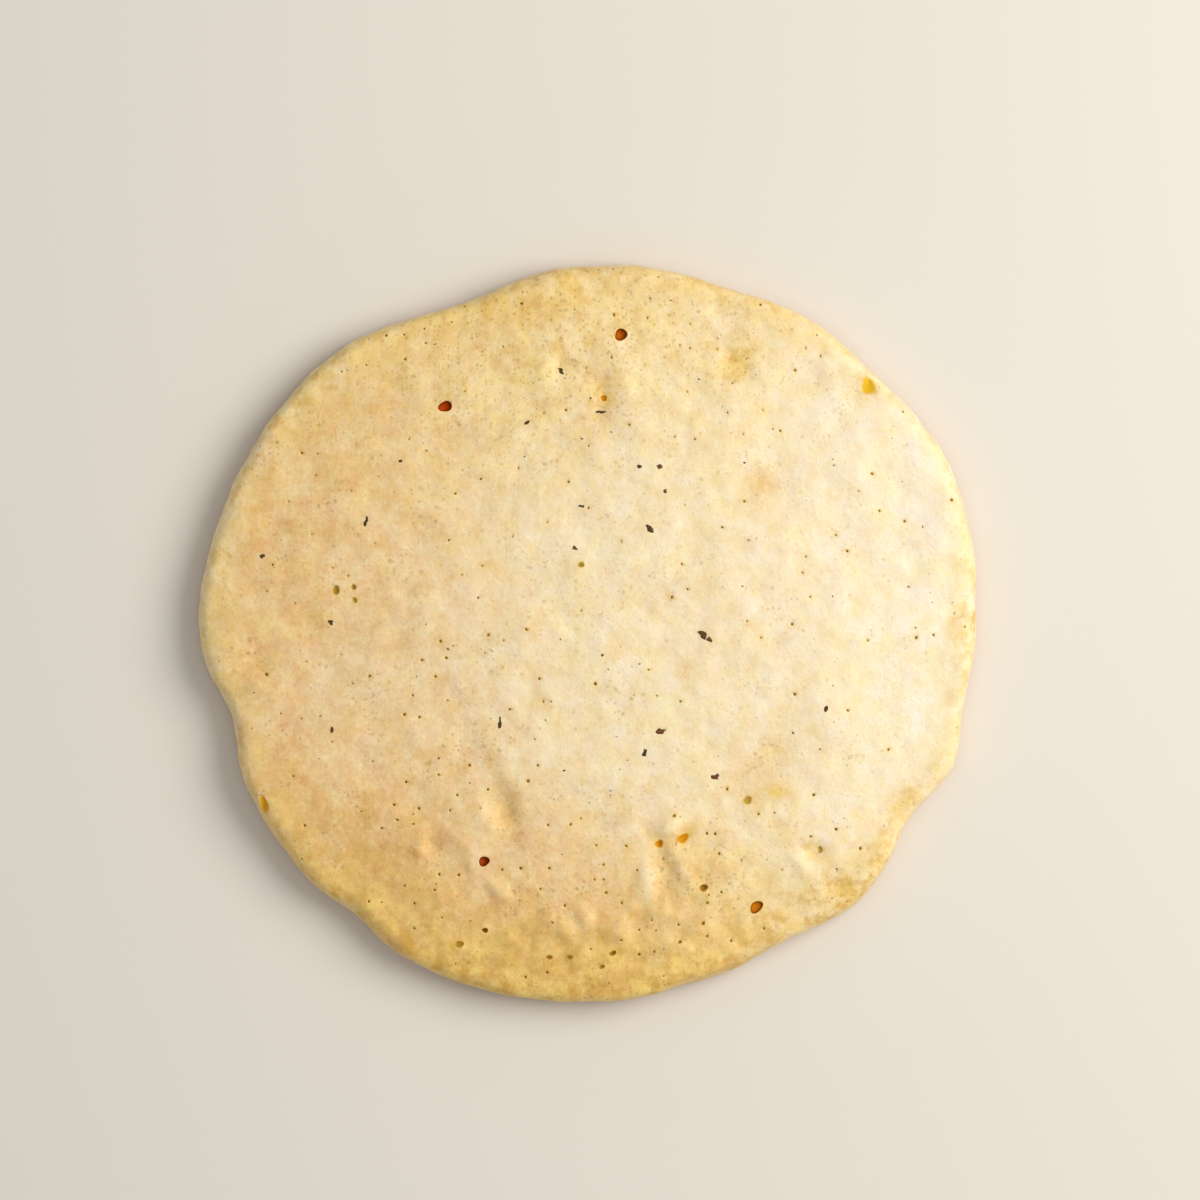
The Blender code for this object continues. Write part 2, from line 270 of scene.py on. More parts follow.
ripples = seededRipples(crown["ripples"], crown["wavesEach"], crown["seed"])
billows = seededRipples(crown["billows"], crown["wavesEach"], crown["seed"] + 2)
dimples = scatteredSpots(
    np.random.default_rng(crown["seed"] + 1), crown["dimples"], crown["dimpleReach"], crown["dimpleRadius"],
    crown["dimpleDepth"])


def lumpRise(x, y):
    # placed dents and bumps: bells of a squared distance raised to a power, which makes their flanks steeper
    rise = np.zeros(np.broadcast(x, y).shape)
    for midX, midY, halfLength, halfWidth, turn, height in crown["lumps"]:
        along, across = turned(x - midX, y - midY, turn)
        gap = (along / halfLength) ** 2 + (across / halfWidth) ** 2
        rise += height * np.exp(-0.5 * gap ** crown["lumpPower"])
    return rise


def skinRise(points):
    # how far the skin stands off the plain form: ripples, lumps, and in the lumpy spots the folded billows,
    # less the dimples
    x, y = points[..., 0], points[..., 1]
    lumpy = patched(0.0, crown["lumpySpots"], x, y)
    rise = rippled(points, ripples) + lumpRise(x, y)
    rise += lumpy * (np.abs(rippled(points, billows)) - crown["billows"][0][1] * crown["billowSink"])
    for spotX, spotY, radius, depth in dimples:
        rise -= depth * np.exp(-0.5 * ((x - spotX) ** 2 + (y - spotY) ** 2) / radius ** 2)
    return rise


def plainCrown(u, v):
    # core rings spread evenly to the roll, whose rings follow a sine; the height falls over the roll as a
    # superellipse from the dome to the widest line. The last number is the way along the skin, for the map.
    ring, angle = discPlace(u, v)
    radius, roll, low = outlineRadius(angle), rollReach(angle), widestLine(angle)
    core = np.minimum(ring / crown["coreShare"], 1)
    over = np.sin(np.clip((ring - crown["coreShare"]) / (1 - crown["coreShare"]), 0, 1) * np.pi / 2)
    distance = core * (radius - roll) + over * roll
    x, y = distance * np.cos(angle), distance * np.sin(angle)
    top, fall = domeHeight(x, y, distance / radius), rollFall(over)
    return np.stack([x, y, low + (top - low) * fall, distance + (top - low) * (1 - fall)], axis=-1)


def crownFrame(u, v, step=0.002):
    # two directions along the skin, by small steps on the square, and the outward normal across them
    inside = 1 - step
    u, v = np.clip(u, -inside, inside), np.clip(v, -inside, inside)
    alongU = (plainCrown(u + step, v) - plainCrown(u - step, v))[..., :3] / (2 * step)
    alongV = (plainCrown(u, v + step) - plainCrown(u, v - step))[..., :3] / (2 * step)
    normal = np.cross(alongU, alongV)
    return alongU, alongV, normal / np.linalg.norm(normal, axis=-1, keepdims=True)


def crownSkin(u, v):
    # the plain crown, moved along its normal by the skin's rise
    plain = plainCrown(u, v)
    normal = crownFrame(u, v)[2]
    return plain[..., :3] + normal * skinRise(plain[..., :3])[..., None], plain[..., 3]


def plainTuck(angle, bend):
    # below the widest line the side follows a quarter ellipse in to the foot: bend 0 is the widest line
    distance = outlineRadius(angle) - form["footTuck"] * (1 - np.cos(bend))
    height = widestLine(angle) * (1 - np.sin(bend))
    return np.stack([distance * np.cos(angle), distance * np.sin(angle), height], axis=-1)


def tuckNormal(angle, bend):
    # outward and down, square to the quarter ellipse
    flat = np.cos(bend) / form["footTuck"]
    down = -np.sin(bend) / form["widestHeight"]
    normal = np.stack([flat * np.cos(angle), flat * np.sin(angle), down], axis=-1)
    return normal / np.hypot(flat, down)[..., None]


def tuckBend(angle, height):
    # the bend at which the side has come down to a height
    return np.arcsin(np.clip(1 - height / widestLine(angle), 0, 1))


def tuckSkin(angle, bend):
    # the tucked side with the skin's rise, which fades out towards the foot
    plain = plainTuck(angle, bend)
    return plain + tuckNormal(angle, bend) * (skinRise(plain) * np.cos(bend))[..., None]


# The seam, an uneven line low on the side where the pale skin gives way to the browned one: its height in mm
# and its waves, and how each skin dives in under the other once it is past it: slope, and bend per mm
seam = {
    "height": 1.35,
    "waves": [(4, 20, 0.22), (9, 70, 0.16), (17, 10, 0.10), (31, 200, 0.07), (53, 90, 0.05)],
    "diveSlope": 0.10,
    "diveBend": 0.28,
}


def seamHeight(angle):
    return wavy(seam["height"], seam["waves"], angle)


def dive(depth):
    # how far a skin goes in once it is past the seam: a slope and a bend
    depth = np.maximum(depth, 0)
    return seam["diveSlope"] * depth + seam["diveBend"] * depth ** 2


def blockRim(i, j, half):
    # rows and columns of the corners round a square block of a grid, counter-clockwise
    side, far = np.arange(2 * half) - half, np.full(2 * half, half)
    return i + np.concatenate([side, far, -side, -far]), j + np.concatenate([-far, side, far, -side])


def strip(upper, lower):
    # quads between two rings of the same length, facing out when the rings run counter-clockwise
    return np.stack([upper, lower, np.roll(lower, -1), np.roll(upper, -1)], axis=1)


def fan(ring, middle):
    # triangles from a ring to the point in its middle
    return np.stack([ring, np.roll(ring, -1), np.full(len(ring), middle)], axis=1)


mapReach = 90.0   # mm of skin from the middle of the bake map to its side
capSpot = (0.05, 0.04)   # middle and radius of the hidden caps' place in a corner of the map


def mapPlace(way, angle):
    # the bake map: the way along the skin from the middle, laid out as a flat disc
    across = 2 * mapReach
    return np.stack([0.5 + way * np.cos(angle) / across, 0.5 + way * np.sin(angle) / across], axis=-1)


def linked(name, data):
    # a new object with its data, in the scene
    made = bpy.data.objects.new(name, data)
    scene.collection.objects.link(made)
    return made


def paint(data, name, values):
    # one number at each point of a mesh, for its material to read by name
    data.attributes.new(name, "FLOAT", "POINT").data.foreach_set("value", values.astype(np.float32))


class Surface:
    # gathers points, faces, map places and painted values, and makes them one mesh object
    def __init__(self, *values):
        self.points, self.places, self.faces, self.capFaces = [], [], [], []
        self.values = {name: [] for name in values}
        self.count = 0

    def add(self, points, places, **values):
        points = points.reshape(-1, 3)
        start, self.count = self.count, self.count + len(points)
        self.points.append(points)
        self.places.append(np.broadcast_to(places.reshape(-1, 2), (len(points), 2)))
        for name, rows in self.values.items():
            rows.append(np.broadcast_to(np.ravel(values.get(name, 0.0)), len(points)))
        return np.arange(start, self.count)

    def close(self, ring, skin, places, inset, height, up):
        # a hidden cap: from the last ring of the skin in to a level ring, and on to a point in the middle
        level = skin.copy()
        level[:, :2] *= (1 - inset / np.hypot(*skin[:, :2].T))[:, None]
        level[:, 2] = height
        inner = self.add(level, places)
        middle = self.add(np.array([0.0, 0.0, height]), np.array([0.5, 0.5]))
        self.capFaces.append(strip(inner, ring) if up else strip(ring, inner))
        self.capFaces.append(fan(inner, middle[0]) if up else fan(inner, middle[0])[:, ::-1])

    def mesh(self, name):
        points = np.concatenate(self.points)
        faces = [face for block in self.faces for face in block.tolist()]
        caps = [face for block in self.capFaces for face in block.tolist()]
        data = bpy.data.meshes.new(name)
        data.from_pydata((points * mm).tolist(), [], faces + caps)
        corners = np.array([corner for face in faces + caps for corner in face])
        places = np.concatenate(self.places)[corners]
        # the caps' corners keep their bearing, in the small disc of the map's corner
        first = len(corners) - sum(len(face) for face in caps)
        places[first:] = capSpot[0] + capSpot[1] * points[corners[first:], :2] / (form["length"] / 2)
        data.uv_layers.new(name="OFBake").uv.foreach_set("vector", places.astype(np.float32).ravel())
        for valueName, rows in self.values.items():
            paint(data, valueName, np.concatenate(rows))
        data.shade_smooth()
        return linked(name, data)


# How far the skin is cooked: a share in the middle that falls towards +X, where the batter is palest, partly
# its own and partly painted light on the side that faces the lamp, and that dents raise and bumps lower. Rim
# holds the golden edge: how far it comes in, in mm, and its strength, each with lobes round the outline, and
# the left edge made paler as painted light where the roll turns from the lamp, its reach and its lobes.
# Patches lie
# on the top: x, y, half length, half width, turn in degrees, strength; a few of them are painted light or
# shade.
browning = {
    "middle": 0.58,
    "most": 1.3,
    "fallPerMm": 0.0058,
    "yellowBase": 0.17,
    "perRise": 0.30,
    "rimReach": 2.2,
    "rimLeast": 0.8,
    "reachLobes": [
        (268, 26, 7.0), (228, 16, 3.2), (180, 16, 1.6), (137, 17, 3.2), (98, 12, 1.8), (312, 14, 2.6),
        (35, 18, -0.6),
    ],
    "rimStrength": 0.34,
    "strengthLobes": [
        (266, 24, 0.62), (226, 15, 0.30), (137, 14, 0.24), (100, 12, 0.24), (315, 10, 0.30), (1, 4, 0.45),
        (170, 22, 0.12),
    ],
    "paintedLightReach": 2.4,
    "paintedLightLobes": [(140, 26, 0.30), (185, 22, 0.30), (235, 16, 0.20)],
    "tanPatches": [
        (-2.0, 0.0, 17.0, 26.0, 0, -0.20), (58.0, -10.0, 16.0, 30.0, 0, -0.08),
        (0.0, -38.0, 24.0, 6.0, 0, 0.10), (-6.0, -64.0, 44.0, 14.0, 0, 0.54),
        (50.0, -48.0, 16.0, 8.0, 42, -0.12), (-30.0, -42.0, 9.0, 9.0, 0, 0.08),
        (35.3, -24.8, 6.5, 5.0, 30, 0.30), (23.5, 0.9, 6.0, 8.0, 0, 0.12), (2.3, 45.3, 4.0, 6.0, 0, 0.16),
        (-22.8, -22.3, 5.0, 6.0, 0, 0.16), (-22.8, -46.0, 6.0, 5.0, 0, -0.14),
        (-46.0, -11.0, 7.0, 6.0, 0, -0.14), (-47.0, -46.0, 10.0, 7.0, -35, 0.34),
        (-30.0, -58.0, 12.0, 5.0, -20, 0.22), (-57.0, -27.0, 5.0, 9.0, 20, 0.10),
        (-8.0, -1.0, 3.0, 7.0, 20, 0.12), (34.0, 29.0, 3.5, 3.5, 0, 0.20),
        # (-15.2, -33.6) darkens the valley's deep end: partly painted shade of its crease, partly its own tan
        (40.0, -10.0, 3.0, 8.0, 20, 0.12), (-15.2, -33.6, 2.6, 4.2, -20, 0.26),
        (-12.0, 46.0, 22.0, 8.0, 0, -0.12), (-38.0, -36.0, 9.0, 7.0, -35, 0.10),
        (27.8, 53.4, 2.0, 3.6, -30, 0.22), (33.4, 28.9, 2.4, 2.2, 0, 0.25),
        # (11.2, -47.3) and (-19.6, -35.2) are painted highlights: a paler streak and lump where the moist
        # skin catches the lamp
        (11.2, -47.3, 0.9, 3.0, 0, -0.40), (-19.6, -35.2, 1.7, 1.9, 0, -0.18),
        # (14.4, -43.2) darkens the valley right of the pale streak: partly painted shade, partly its own tan
        (14.4, -43.2, 1.4, 2.4, 0, 0.20), (3.0, 47.0, 3.2, 4.6, 0, 0.10),
        # (-72, 16) and (-50, 52) make the left and upper left rim paler: painted light where the roll turns
        # from the lamp
        (-72.0, 16.0, 4.0, 32.0, 0, -0.28), (-50.0, 52.0, 14.0, 4.0, 45, -0.20),
    ],
    "yellowPatches": [
        (-10.0, 60.0, 38.0, 12.0, 0, 0.46), (-4.0, -67.0, 44.0, 6.0, 0, 0.40),
        (58.0, -44.0, 18.0, 5.0, 42, 0.30), (71.0, 4.0, 3.0, 24.0, 0, 0.15),
        (-66.0, -26.0, 5.0, 14.0, 25, 0.15), (23.5, -46.0, 8.0, 6.0, 0, 0.45),
        (44.0, 32.0, 22.0, 18.0, 0, -0.20), (-40.0, -38.0, 22.0, 20.0, 0, -0.26),
        (56.0, 2.0, 16.0, 34.0, 0, -0.12), (24.0, -10.0, 8.0, 8.0, 0, -0.12),
        (24.0, 35.0, 7.0, 6.0, 0, 0.18), (-6.0, -34.0, 10.0, 5.0, 0, 0.12),
        (-69.0, 7.0, 4.0, 14.0, 0, 0.20), (28.6, 53.0, 2.2, 3.2, -20, 0.60),
        (-16.0, 41.0, 18.0, 9.0, 10, 0.22), (-15.2, -34.0, 2.6, 3.6, 0, 0.25),
        (36.0, 22.0, 6.0, 6.0, 0, 0.18),
    ],
    "goldPatches": [
        (5.8, -61.4, 1.6, 1.1, 0, 0.50), (-6.5, -68.2, 2.2, 1.1, 0, 0.60),
        (24.5, -62.6, 2.4, 1.3, 15, 0.55), (-21.2, -66.0, 2.6, 1.1, -15, 0.50),
        (-34.2, -60.3, 1.9, 1.1, -30, 0.60), (-0.8, -69.0, 2.0, 0.9, 0, 0.60),
        (36.3, -30.3, 1.8, 1.2, 10, 0.80), (39.4, -31.8, 1.5, 1.1, 0, 0.25),
        (9.6, -55.4, 1.7, 1.4, 0, 0.30), (48.4, -48.9, 3.0, 2.0, 10, 0.85),
        (28.8, 52.6, 1.8, 2.8, -20, 0.80), (33.2, 62.0, 7.0, 2.0, -25, 0.35),
        (-3.0, 66.0, 16.0, 3.0, 5, 0.30), (60.5, -34.0, 4.4, 1.8, 50, 0.50),
        (72.2, 1.4, 1.2, 4.0, 0, 0.55), (37.0, -36.5, 1.6, 1.2, 0, 0.35), (43.3, -41.4, 1.4, 1.0, 0, 0.75),
        (-46.0, -17.0, 3.0, 2.2, 0, 0.18), (3.4, 45.6, 0.9, 1.1, 0, 0.65),
        (18.0, -39.2, 1.8, 0.9, 10, 0.6), (14.2, -40.4, 1.2, 0.9, 0, 0.5),
        (12.2, -38.0, 1.7, 0.9, -50, 0.5), (19.9, -37.6, 1.4, 0.8, 45, 0.4),
        (33.4, 28.9, 1.8, 1.5, 0, 0.35), (54.6, 47.8, 2.0, 1.8, 0, 0.6), (32.2, -31.6, 1.6, 1.2, 0, 0.35),
        (-24.9, -59.7, 1.4, 1.2, 0, 0.5),
    ],
}


def skinTones(points):
    # the cooked, yellowed and golden shares at each point
    x, y = points[..., 0], points[..., 1]
    angle = np.arctan2(y, x)
    inward = np.maximum(outlineRadius(angle) - np.hypot(x, y), 0)
    # the fall towards +X is partly the batter's own and partly painted light: the side that faces the lamp
    # made paler
    cooked = browning["middle"] - browning["fallPerMm"] * x - browning["perRise"] * lumpRise(x, y)
    cooked = patched(cooked, browning["tanPatches"], x, y)
    # painted light: the left rim made paler where it turns from the lamp
    paintedRimLight = lobed(0.0, browning["paintedLightLobes"], angle)
    cooked = cooked - paintedRimLight * np.exp(-0.5 * (inward / browning["paintedLightReach"]) ** 2)
    yellowed = patched(browning["yellowBase"], browning["yellowPatches"], x, y)
    reach = lobed(browning["rimReach"], browning["reachLobes"], angle)
    gold = lobed(browning["rimStrength"], browning["strengthLobes"], angle)
    gold = gold * np.exp(-0.5 * (inward / np.maximum(reach, browning["rimLeast"])) ** 2)
    for patch in browning["goldPatches"]:
        gold = gold + (1 - gold) * patched(0.0, [patch], x, y)
    return {
        "cooked": np.clip(cooked, 0, browning["most"]), "yellowed": np.clip(yellowed, 0, 1),
        "gold": np.clip(gold, 0, 1)}


# Open bubble holes in mm: x, y, half length, half width, turn in degrees, depth, cells of the patch from its
# middle, and tone: 0 yellow, 1 orange, 2 red-brown, 3 olive brown, and less painted shade above that
bubbleHoles = [
    (6.3, 57.8, 1.30, 1.20, 0, 1.25, 4, 1.6), (-27.7, 44.0, 1.38, 1.14, 15, 1.20, 4, 2.0),
    (-20.2, -43.6, 1.12, 1.00, 0, 1.4, 4, 2.1), (32.5, -52.4, 1.50, 1.05, 32, 0.9, 4, 1.3),
    (54.2, 48.0, 1.74, 1.58, -40, 0.42, 7, 0.1), (-62.8, -32.7, 1.75, 0.98, -70, 0.32, 5, 0.5),
    (30.8, -31.8, 0.84, 0.80, 0, 0.28, 3, 3.3), (18.3, -39.2, 1.30, 1.02, 30, 0.72, 3, 0.8),
    (13.7, -40.2, 1.00, 0.82, 0, 0.66, 3, 0.85), (22.3, -48.7, 0.84, 0.76, 20, 0.9, 3, 2.85),
    (-48.8, 8.6, 0.95, 0.72, 80, 0.50, 2, 3.0), (-25.0, -59.6, 0.92, 0.70, 20, 0.50, 3, 3.0),
    (-45.4, 9.2, 0.62, 0.50, 90, 0.40, 2, 3.0), (-45.2, 6.7, 0.64, 0.46, 100, 0.30, 2, 3.1),
    (-20.0, -56.9, 0.66, 0.56, 10, 0.9, 2, 2.75), (-7.6, -62.1, 0.74, 0.44, 5, 0.50, 2, 2.95),
    (-3.7, -62.1, 0.78, 0.44, -4, 0.45, 2, 3.1), (2.6, -63.9, 0.60, 0.46, 20, 0.40, 2, 3.05),
    (4.7, -61.3, 0.80, 0.50, 15, 0.60, 2, 2.9), (3.0, 45.6, 0.70, 0.62, 0, 0.42, 2, 0.95),
    (-1.4, 13.5, 0.60, 0.56, 0, 0.20, 2, 3.0), (44.9, -41.3, 0.48, 0.66, 0, 0.16, 2, 3.25),
]
# Each kind of hole: its wall from the lip down, as a share of the depth and a share of the mouth's size, how
# far into the hole's colours and painted shade it goes, how high the lip stands and how uneven it is, and how
# golden the skin round it is
holeKinds = {
    "deep": {
        "wall": [
            (0.03, 0.96), (0.10, 0.92), (0.24, 0.92), (0.45, 0.94), (0.66, 0.87), (0.84, 0.66), (0.96, 0.34),
        ],
        "tint": 1.0, "lip": 0.05, "uneven": 0.12, "halo": 0.0,
    },
    "small": {
        "wall": [(0.15, 0.90), (0.42, 0.72), (0.78, 0.44)],
        "tint": 0.62, "lip": 0.05, "uneven": 0.12, "halo": 0.50,
    },
    "bowl": {
        "wall": [(0.06, 0.93), (0.14, 0.83), (0.28, 0.71), (0.50, 0.55), (0.74, 0.37), (0.92, 0.19)],
        "tint": 0.50, "lip": 0.015, "uneven": 0.20, "halo": 0.50,
    },
}
holeShape = {
    "bowlBelow": 0.9,         # tone below which a hole is a shallow bowl
    "smallBelow": 1.0,        # half length below which it is a small one
    "mouthWaves": [(2, 0.6), (3, 0.5)],   # waves in a turn and share of the unevenness
    "mostPhase": 6.0,
    "outerRings": 4,          # between the patch's rim and the mouth
    "smallPatchRings": 2,
    "smallPatchRim": 16,
    "ringPower": 1.4,         # above 1 the rings are closer together near the mouth
    "lipReach": 0.3,
    "lean": 0.12,             # how far the bottom may lie to one side, as a share of the half width
    "mapShrink": 0.9,
}
# Pinholes in mm: those placed have x, y and radius, and the rest are scattered over the skin by a seeded draw
pinholes = {
    "placed": [
        (-8.0, -65.0, 0.26), (-12.2, -65.9, 0.24), (9.8, -61.5, 0.28), (17.7, -59.1, 0.34),
        (22.2, -55.5, 0.33), (23.0, -58.0, 0.31), (27.6, -58.9, 0.24), (23.0, -51.6, 0.28),
        (25.7, -49.5, 0.22), (9.8, -56.8, 0.22), (6.3, -58.8, 0.22), (3.4, -49.6, 0.31),
        (6.4, -51.6, 0.22), (2.9, -47.1, 0.22), (-4.6, -52.1, 0.26), (-9.3, -48.9, 0.24),
        (-25.1, -46.2, 0.29), (-29.8, -49.1, 0.28), (-33.7, -51.7, 0.21), (-28.4, -54.4, 0.22),
        (-33.7, -56.5, 0.24), (-35.6, -48.3, 0.24), (17.4, -55.8, 0.21), (12.2, -54.9, 0.19),
        (12.7, -61.0, 0.21), (0.4, -60.5, 0.19), (16.6, -34.8, 0.33), (22.9, -38.2, 0.24),
        (24.5, -38.3, 0.28), (7.3, -40.6, 0.26), (25.3, -42.1, 0.28), (47.9, -37.4, 0.28),
        (43.0, -38.8, 0.22), (48.0, -45.1, 0.21), (32.9, -34.5, 0.22), (9.4, -45.3, 0.21),
        (52.6, -41.1, 0.30), (-28.6, -1.2, 0.33), (-32.2, -4.8, 0.26), (-27.5, -4.4, 0.29),
        (-29.6, -8.0, 0.28), (-34.0, -11.6, 0.22), (-35.6, -15.3, 0.31), (-32.7, -15.8, 0.26),
        (-15.2, -14.3, 0.22), (-9.5, -8.4, 0.26), (1.3, -9.4, 0.33), (-23.0, -25.1, 0.28),
        (-11.7, -28.1, 0.36), (-9.8, -25.1, 0.24), (-32.8, -33.4, 0.28), (-33.9, -36.4, 0.26),
        (-29.0, -26.9, 0.22), (-35.3, -28.3, 0.26), (-26.8, -33.8, 0.22), (-7.8, -36.6, 0.26),
        (-13.1, -44.9, 0.33), (-16.7, -45.2, 0.26), (-7.6, -44.9, 0.26), (2.9, -44.2, 0.22),
        (1.2, -47.1, 0.24),
    ],
    "placedStretch": (1.0, 1.2),
    "scattered": 190,
    "sparse": (0.0, -52.0, 50.0, 24.0, 0, 0.75),   # where fewer are scattered, given as a patch is
    "radius": (0.13, 0.32),
    "radiusPower": 1.9,       # above 1 there are more small ones
    "stretch": (0.85, 1.25),
    "depth": (0.25, 0.5),
    "tone": 3.0,
    "patchCells": 2,
    "seed": 21,
}


def squareSpot(x, y, spot):
    # three steps on the square, from a spot on it to the one where the skin lies at x, y
    for _ in range(3):
        alongU, alongV, _normal = crownFrame(*spot)
        off = np.array([x, y]) - crownSkin(*spot)[0][:2]
        spot = spot + np.linalg.inv(np.stack([alongU[:2], alongV[:2]], axis=1)) @ off
    return spot


def chooseHoles(line, points, draw):
    # takes a square block of the sheet's cells for each hole. A hole has its block's middle corner and half
    # size, its own middle on the square, and its sizes. Kept are the cells outside all blocks, and inner the
    # corners inside one.
    cells = len(line) - 1
    kept, inner = np.ones((cells, cells), bool), np.zeros((cells + 1, cells + 1), bool)
    holes = []

    def reserve(i, j, half):
        # takes a block if it lies inside the sheet and none of its cells is taken
        block = np.s_[i - half:i + half, j - half:j + half]
        if min(i, j) < half + 1 or max(i, j) > cells - half - 1 or not kept[block].all():
            return False
        kept[block] = False
        inner[i - half + 1:i + half, j - half + 1:j + half] = True
        return True

    half, tone = pinholes["patchCells"], pinholes["tone"]
    placed = [
        (x, y, radius * draw.uniform(*pinholes["placedStretch"]), radius, draw.uniform(0, 180),
         draw.uniform(*pinholes["depth"]), half, tone) for x, y, radius in pinholes["placed"]]
    for x, y, halfLength, halfWidth, turn, depth, cellsOut, holeTone in bubbleHoles + placed:
        gap = np.hypot(points[..., 0] - x, points[..., 1] - y)
        i, j = np.unravel_index(gap.argmin(), gap.shape)
        if reserve(i, j, cellsOut):
            middle = squareSpot(x, y, np.array([line[i], line[j]]))
            holes.append((i, j, cellsOut, middle, (halfLength, halfWidth, turn, depth, holeTone)))
        else:
            print("no room for the hole at", x, y)
    for _ in range(pinholes["scattered"]):
        i, j = draw.integers(half + 1, cells - half, 2)
        left = patched(0.0, [pinholes["sparse"]], *points[i, j, :2])
        if draw.uniform() < left or not reserve(i, j, half):
            continue
        larger = draw.uniform() ** pinholes["radiusPower"]
        radius = pinholes["radius"][0] + np.ptp(pinholes["radius"]) * larger
        stretch = draw.uniform(*pinholes["stretch"])
        holes.append((i, j, half, np.array([line[i], line[j]]), (
            radius * stretch, radius / stretch, draw.uniform(0, 180), draw.uniform(*pinholes["depth"]),
            tone)))
    return holes, kept, inner


def cutHole(surface, rim, rimPoints, middle, hole, draw):
    # rings shrink from the block's square rim to the mouth and then follow the wall down. A ring's points lie
    # on the skin until the mouth, and below it on the mouth's own outline, shrunk and sunk.
    halfLength, halfWidth, turn, depth, tone = hole
    small = "small" if halfLength < holeShape["smallBelow"] else "deep"
    kind = holeKinds["bowl" if tone < holeShape["bowlBelow"] else small]
    centre = crownSkin(*middle)[0]
    alongU, alongV, normal = crownFrame(*middle)
    right = np.array([1.0, 0, 0]) - normal[0] * normal
    right /= np.linalg.norm(right)
    up = np.cross(normal, right)
    toSquare = np.linalg.inv(np.array([[alongU @ right, alongV @ right], [alongU @ up, alongV @ up]]))
    # the mouth: an uneven ellipse in the skin's plane, each of its points on the bearing of one of the rim's
    rimSkin = crownSkin(*rimPoints.T)[0] - centre
    bearing = np.unwrap(np.arctan2(rimSkin @ up, rimSkin @ right))
    even = math.tau * np.arange(len(rim)) / len(rim)
    bearing = np.mean(bearing - even) + even
    local = bearing - math.radians(turn)
    uneven = 1 + kind["uneven"] * sum(
        part * np.sin(waves * bearing + draw.uniform(0, holeShape["mostPhase"]))
        for waves, part in holeShape["mouthWaves"])
    flat = np.stack([halfLength * np.cos(local), halfWidth * np.sin(local)], axis=1) * uneven[:, None]
    c, s = math.cos(math.radians(turn)), math.sin(math.radians(turn))
    mouth = middle + flat @ np.array([[c, s], [-s, c]]) @ toSquare.T

    rings = holeShape["outerRings" if len(rim) > holeShape["smallPatchRim"] else "smallPatchRings"]
    upper = rim
    for step in range(1, rings + 1):
        near = 1 - (1 - step / rings) ** holeShape["ringPower"]
        square = rimPoints + (mouth - rimPoints) * near
        points, way = crownSkin(*square.T)
        lip = kind["lip"] * min(halfWidth, 1) * math.exp(-0.5 * ((1 - near) / holeShape["lipReach"]) ** 2)
        around = skinTones(points)
        around["gold"] = np.maximum(around["gold"], kind["halo"] * near ** 3)
        lower = surface.add(points + normal * lip, mapPlace(way, discPlace(*square.T)[1]), **around)
        surface.faces.append(strip(upper, lower)[:, ::-1])
        upper = lower

    mouthPoints, mouthPlaces = surface.points[-1], surface.places[-1]
    middlePoint, middlePlace = mouthPoints.mean(axis=0), mouthPlaces.mean(axis=0)
    tones = {name: float(value) for name, value in skinTones(centre).items()}
    lean = draw.uniform(-holeShape["lean"], holeShape["lean"], 2) * halfWidth
    bottom = right * lean[0] + up * lean[1] - normal * depth
    for sunk, size in kind["wall"]:
        wall = middlePoint + bottom * sunk + (mouthPoints - middlePoint) * size
        place = middlePlace + (mouthPlaces - middlePlace) * (1 - holeShape["mapShrink"] * sunk)
        lower = surface.add(wall, place, wallDepth=sunk * kind["tint"], holeTone=tone, **tones)
        surface.faces.append(strip(upper, lower)[:, ::-1])
        upper = lower
    last = surface.add(middlePoint + bottom, middlePlace, wallDepth=kind["tint"], holeTone=tone, **tones)
    surface.faces.append(fan(upper, last[0]))


def tuckSide(surface, upper, angle, way):
    # rows run down the side from the widest line to the floor height, going in under the browned skin once
    # they are past the seam
    low = widestLine(angle)
    for row in range(1, crown["tuckRows"] + 1):
        height = low + (crown["floorHeight"] - low) * row / crown["tuckRows"]
        bend = tuckBend(angle, height)
        skin = tuckSkin(angle, bend)
        skin -= tuckNormal(angle, bend) * dive(seamHeight(angle) - skin[:, 2])[:, None]
        lower = surface.add(skin, mapPlace(way + (low - height), angle), **skinTones(skin))
        surface.faces.append(strip(upper, lower))
        upper = lower
    surface.close(
        upper, skin, mapPlace(way + low, angle), crown["floorInset"], crown["floorHeight"], up=False)


def makeCrown():
    # a sheet over the top and the roll, a patch for each hole in it, the side tucked in below, and a floor
    surface = Surface("cooked", "yellowed", "gold", "wallDepth", "holeTone")
    line = np.linspace(-1, 1, crown["cells"] + 1)
    u, v = np.meshgrid(line, line, indexing="ij")
    points, way = crownSkin(u, v)
    angle = discPlace(u, v)[1]
    draw = np.random.default_rng(pinholes["seed"])
    holes, kept, inner = chooseHoles(line, points, draw)
    outer = ~inner
    number = np.full(outer.shape, -1)
    number[outer] = np.arange(outer.sum())
    surface.add(points[outer], mapPlace(way[outer], angle[outer]), **skinTones(points[outer]))
    corners = np.stack([number[:-1, :-1], number[1:, :-1], number[1:, 1:], number[:-1, 1:]], axis=-1)
    surface.faces.append(corners[kept])
    print("crown sheet:", int(kept.sum()), "quads,", len(holes), "holes")
    for i, j, half, middle, hole in holes:
        rows, columns = blockRim(i, j, half)
        rimPoints = np.stack([line[rows], line[columns]], axis=1)
        cutHole(surface, number[rows, columns], rimPoints, middle, hole, draw)
    half = crown["cells"] // 2
    rim = blockRim(half, half, half)
    tuckSide(surface, number[rim], angle[rim], way[rim])
    return surface.mesh("pancakeCrown")


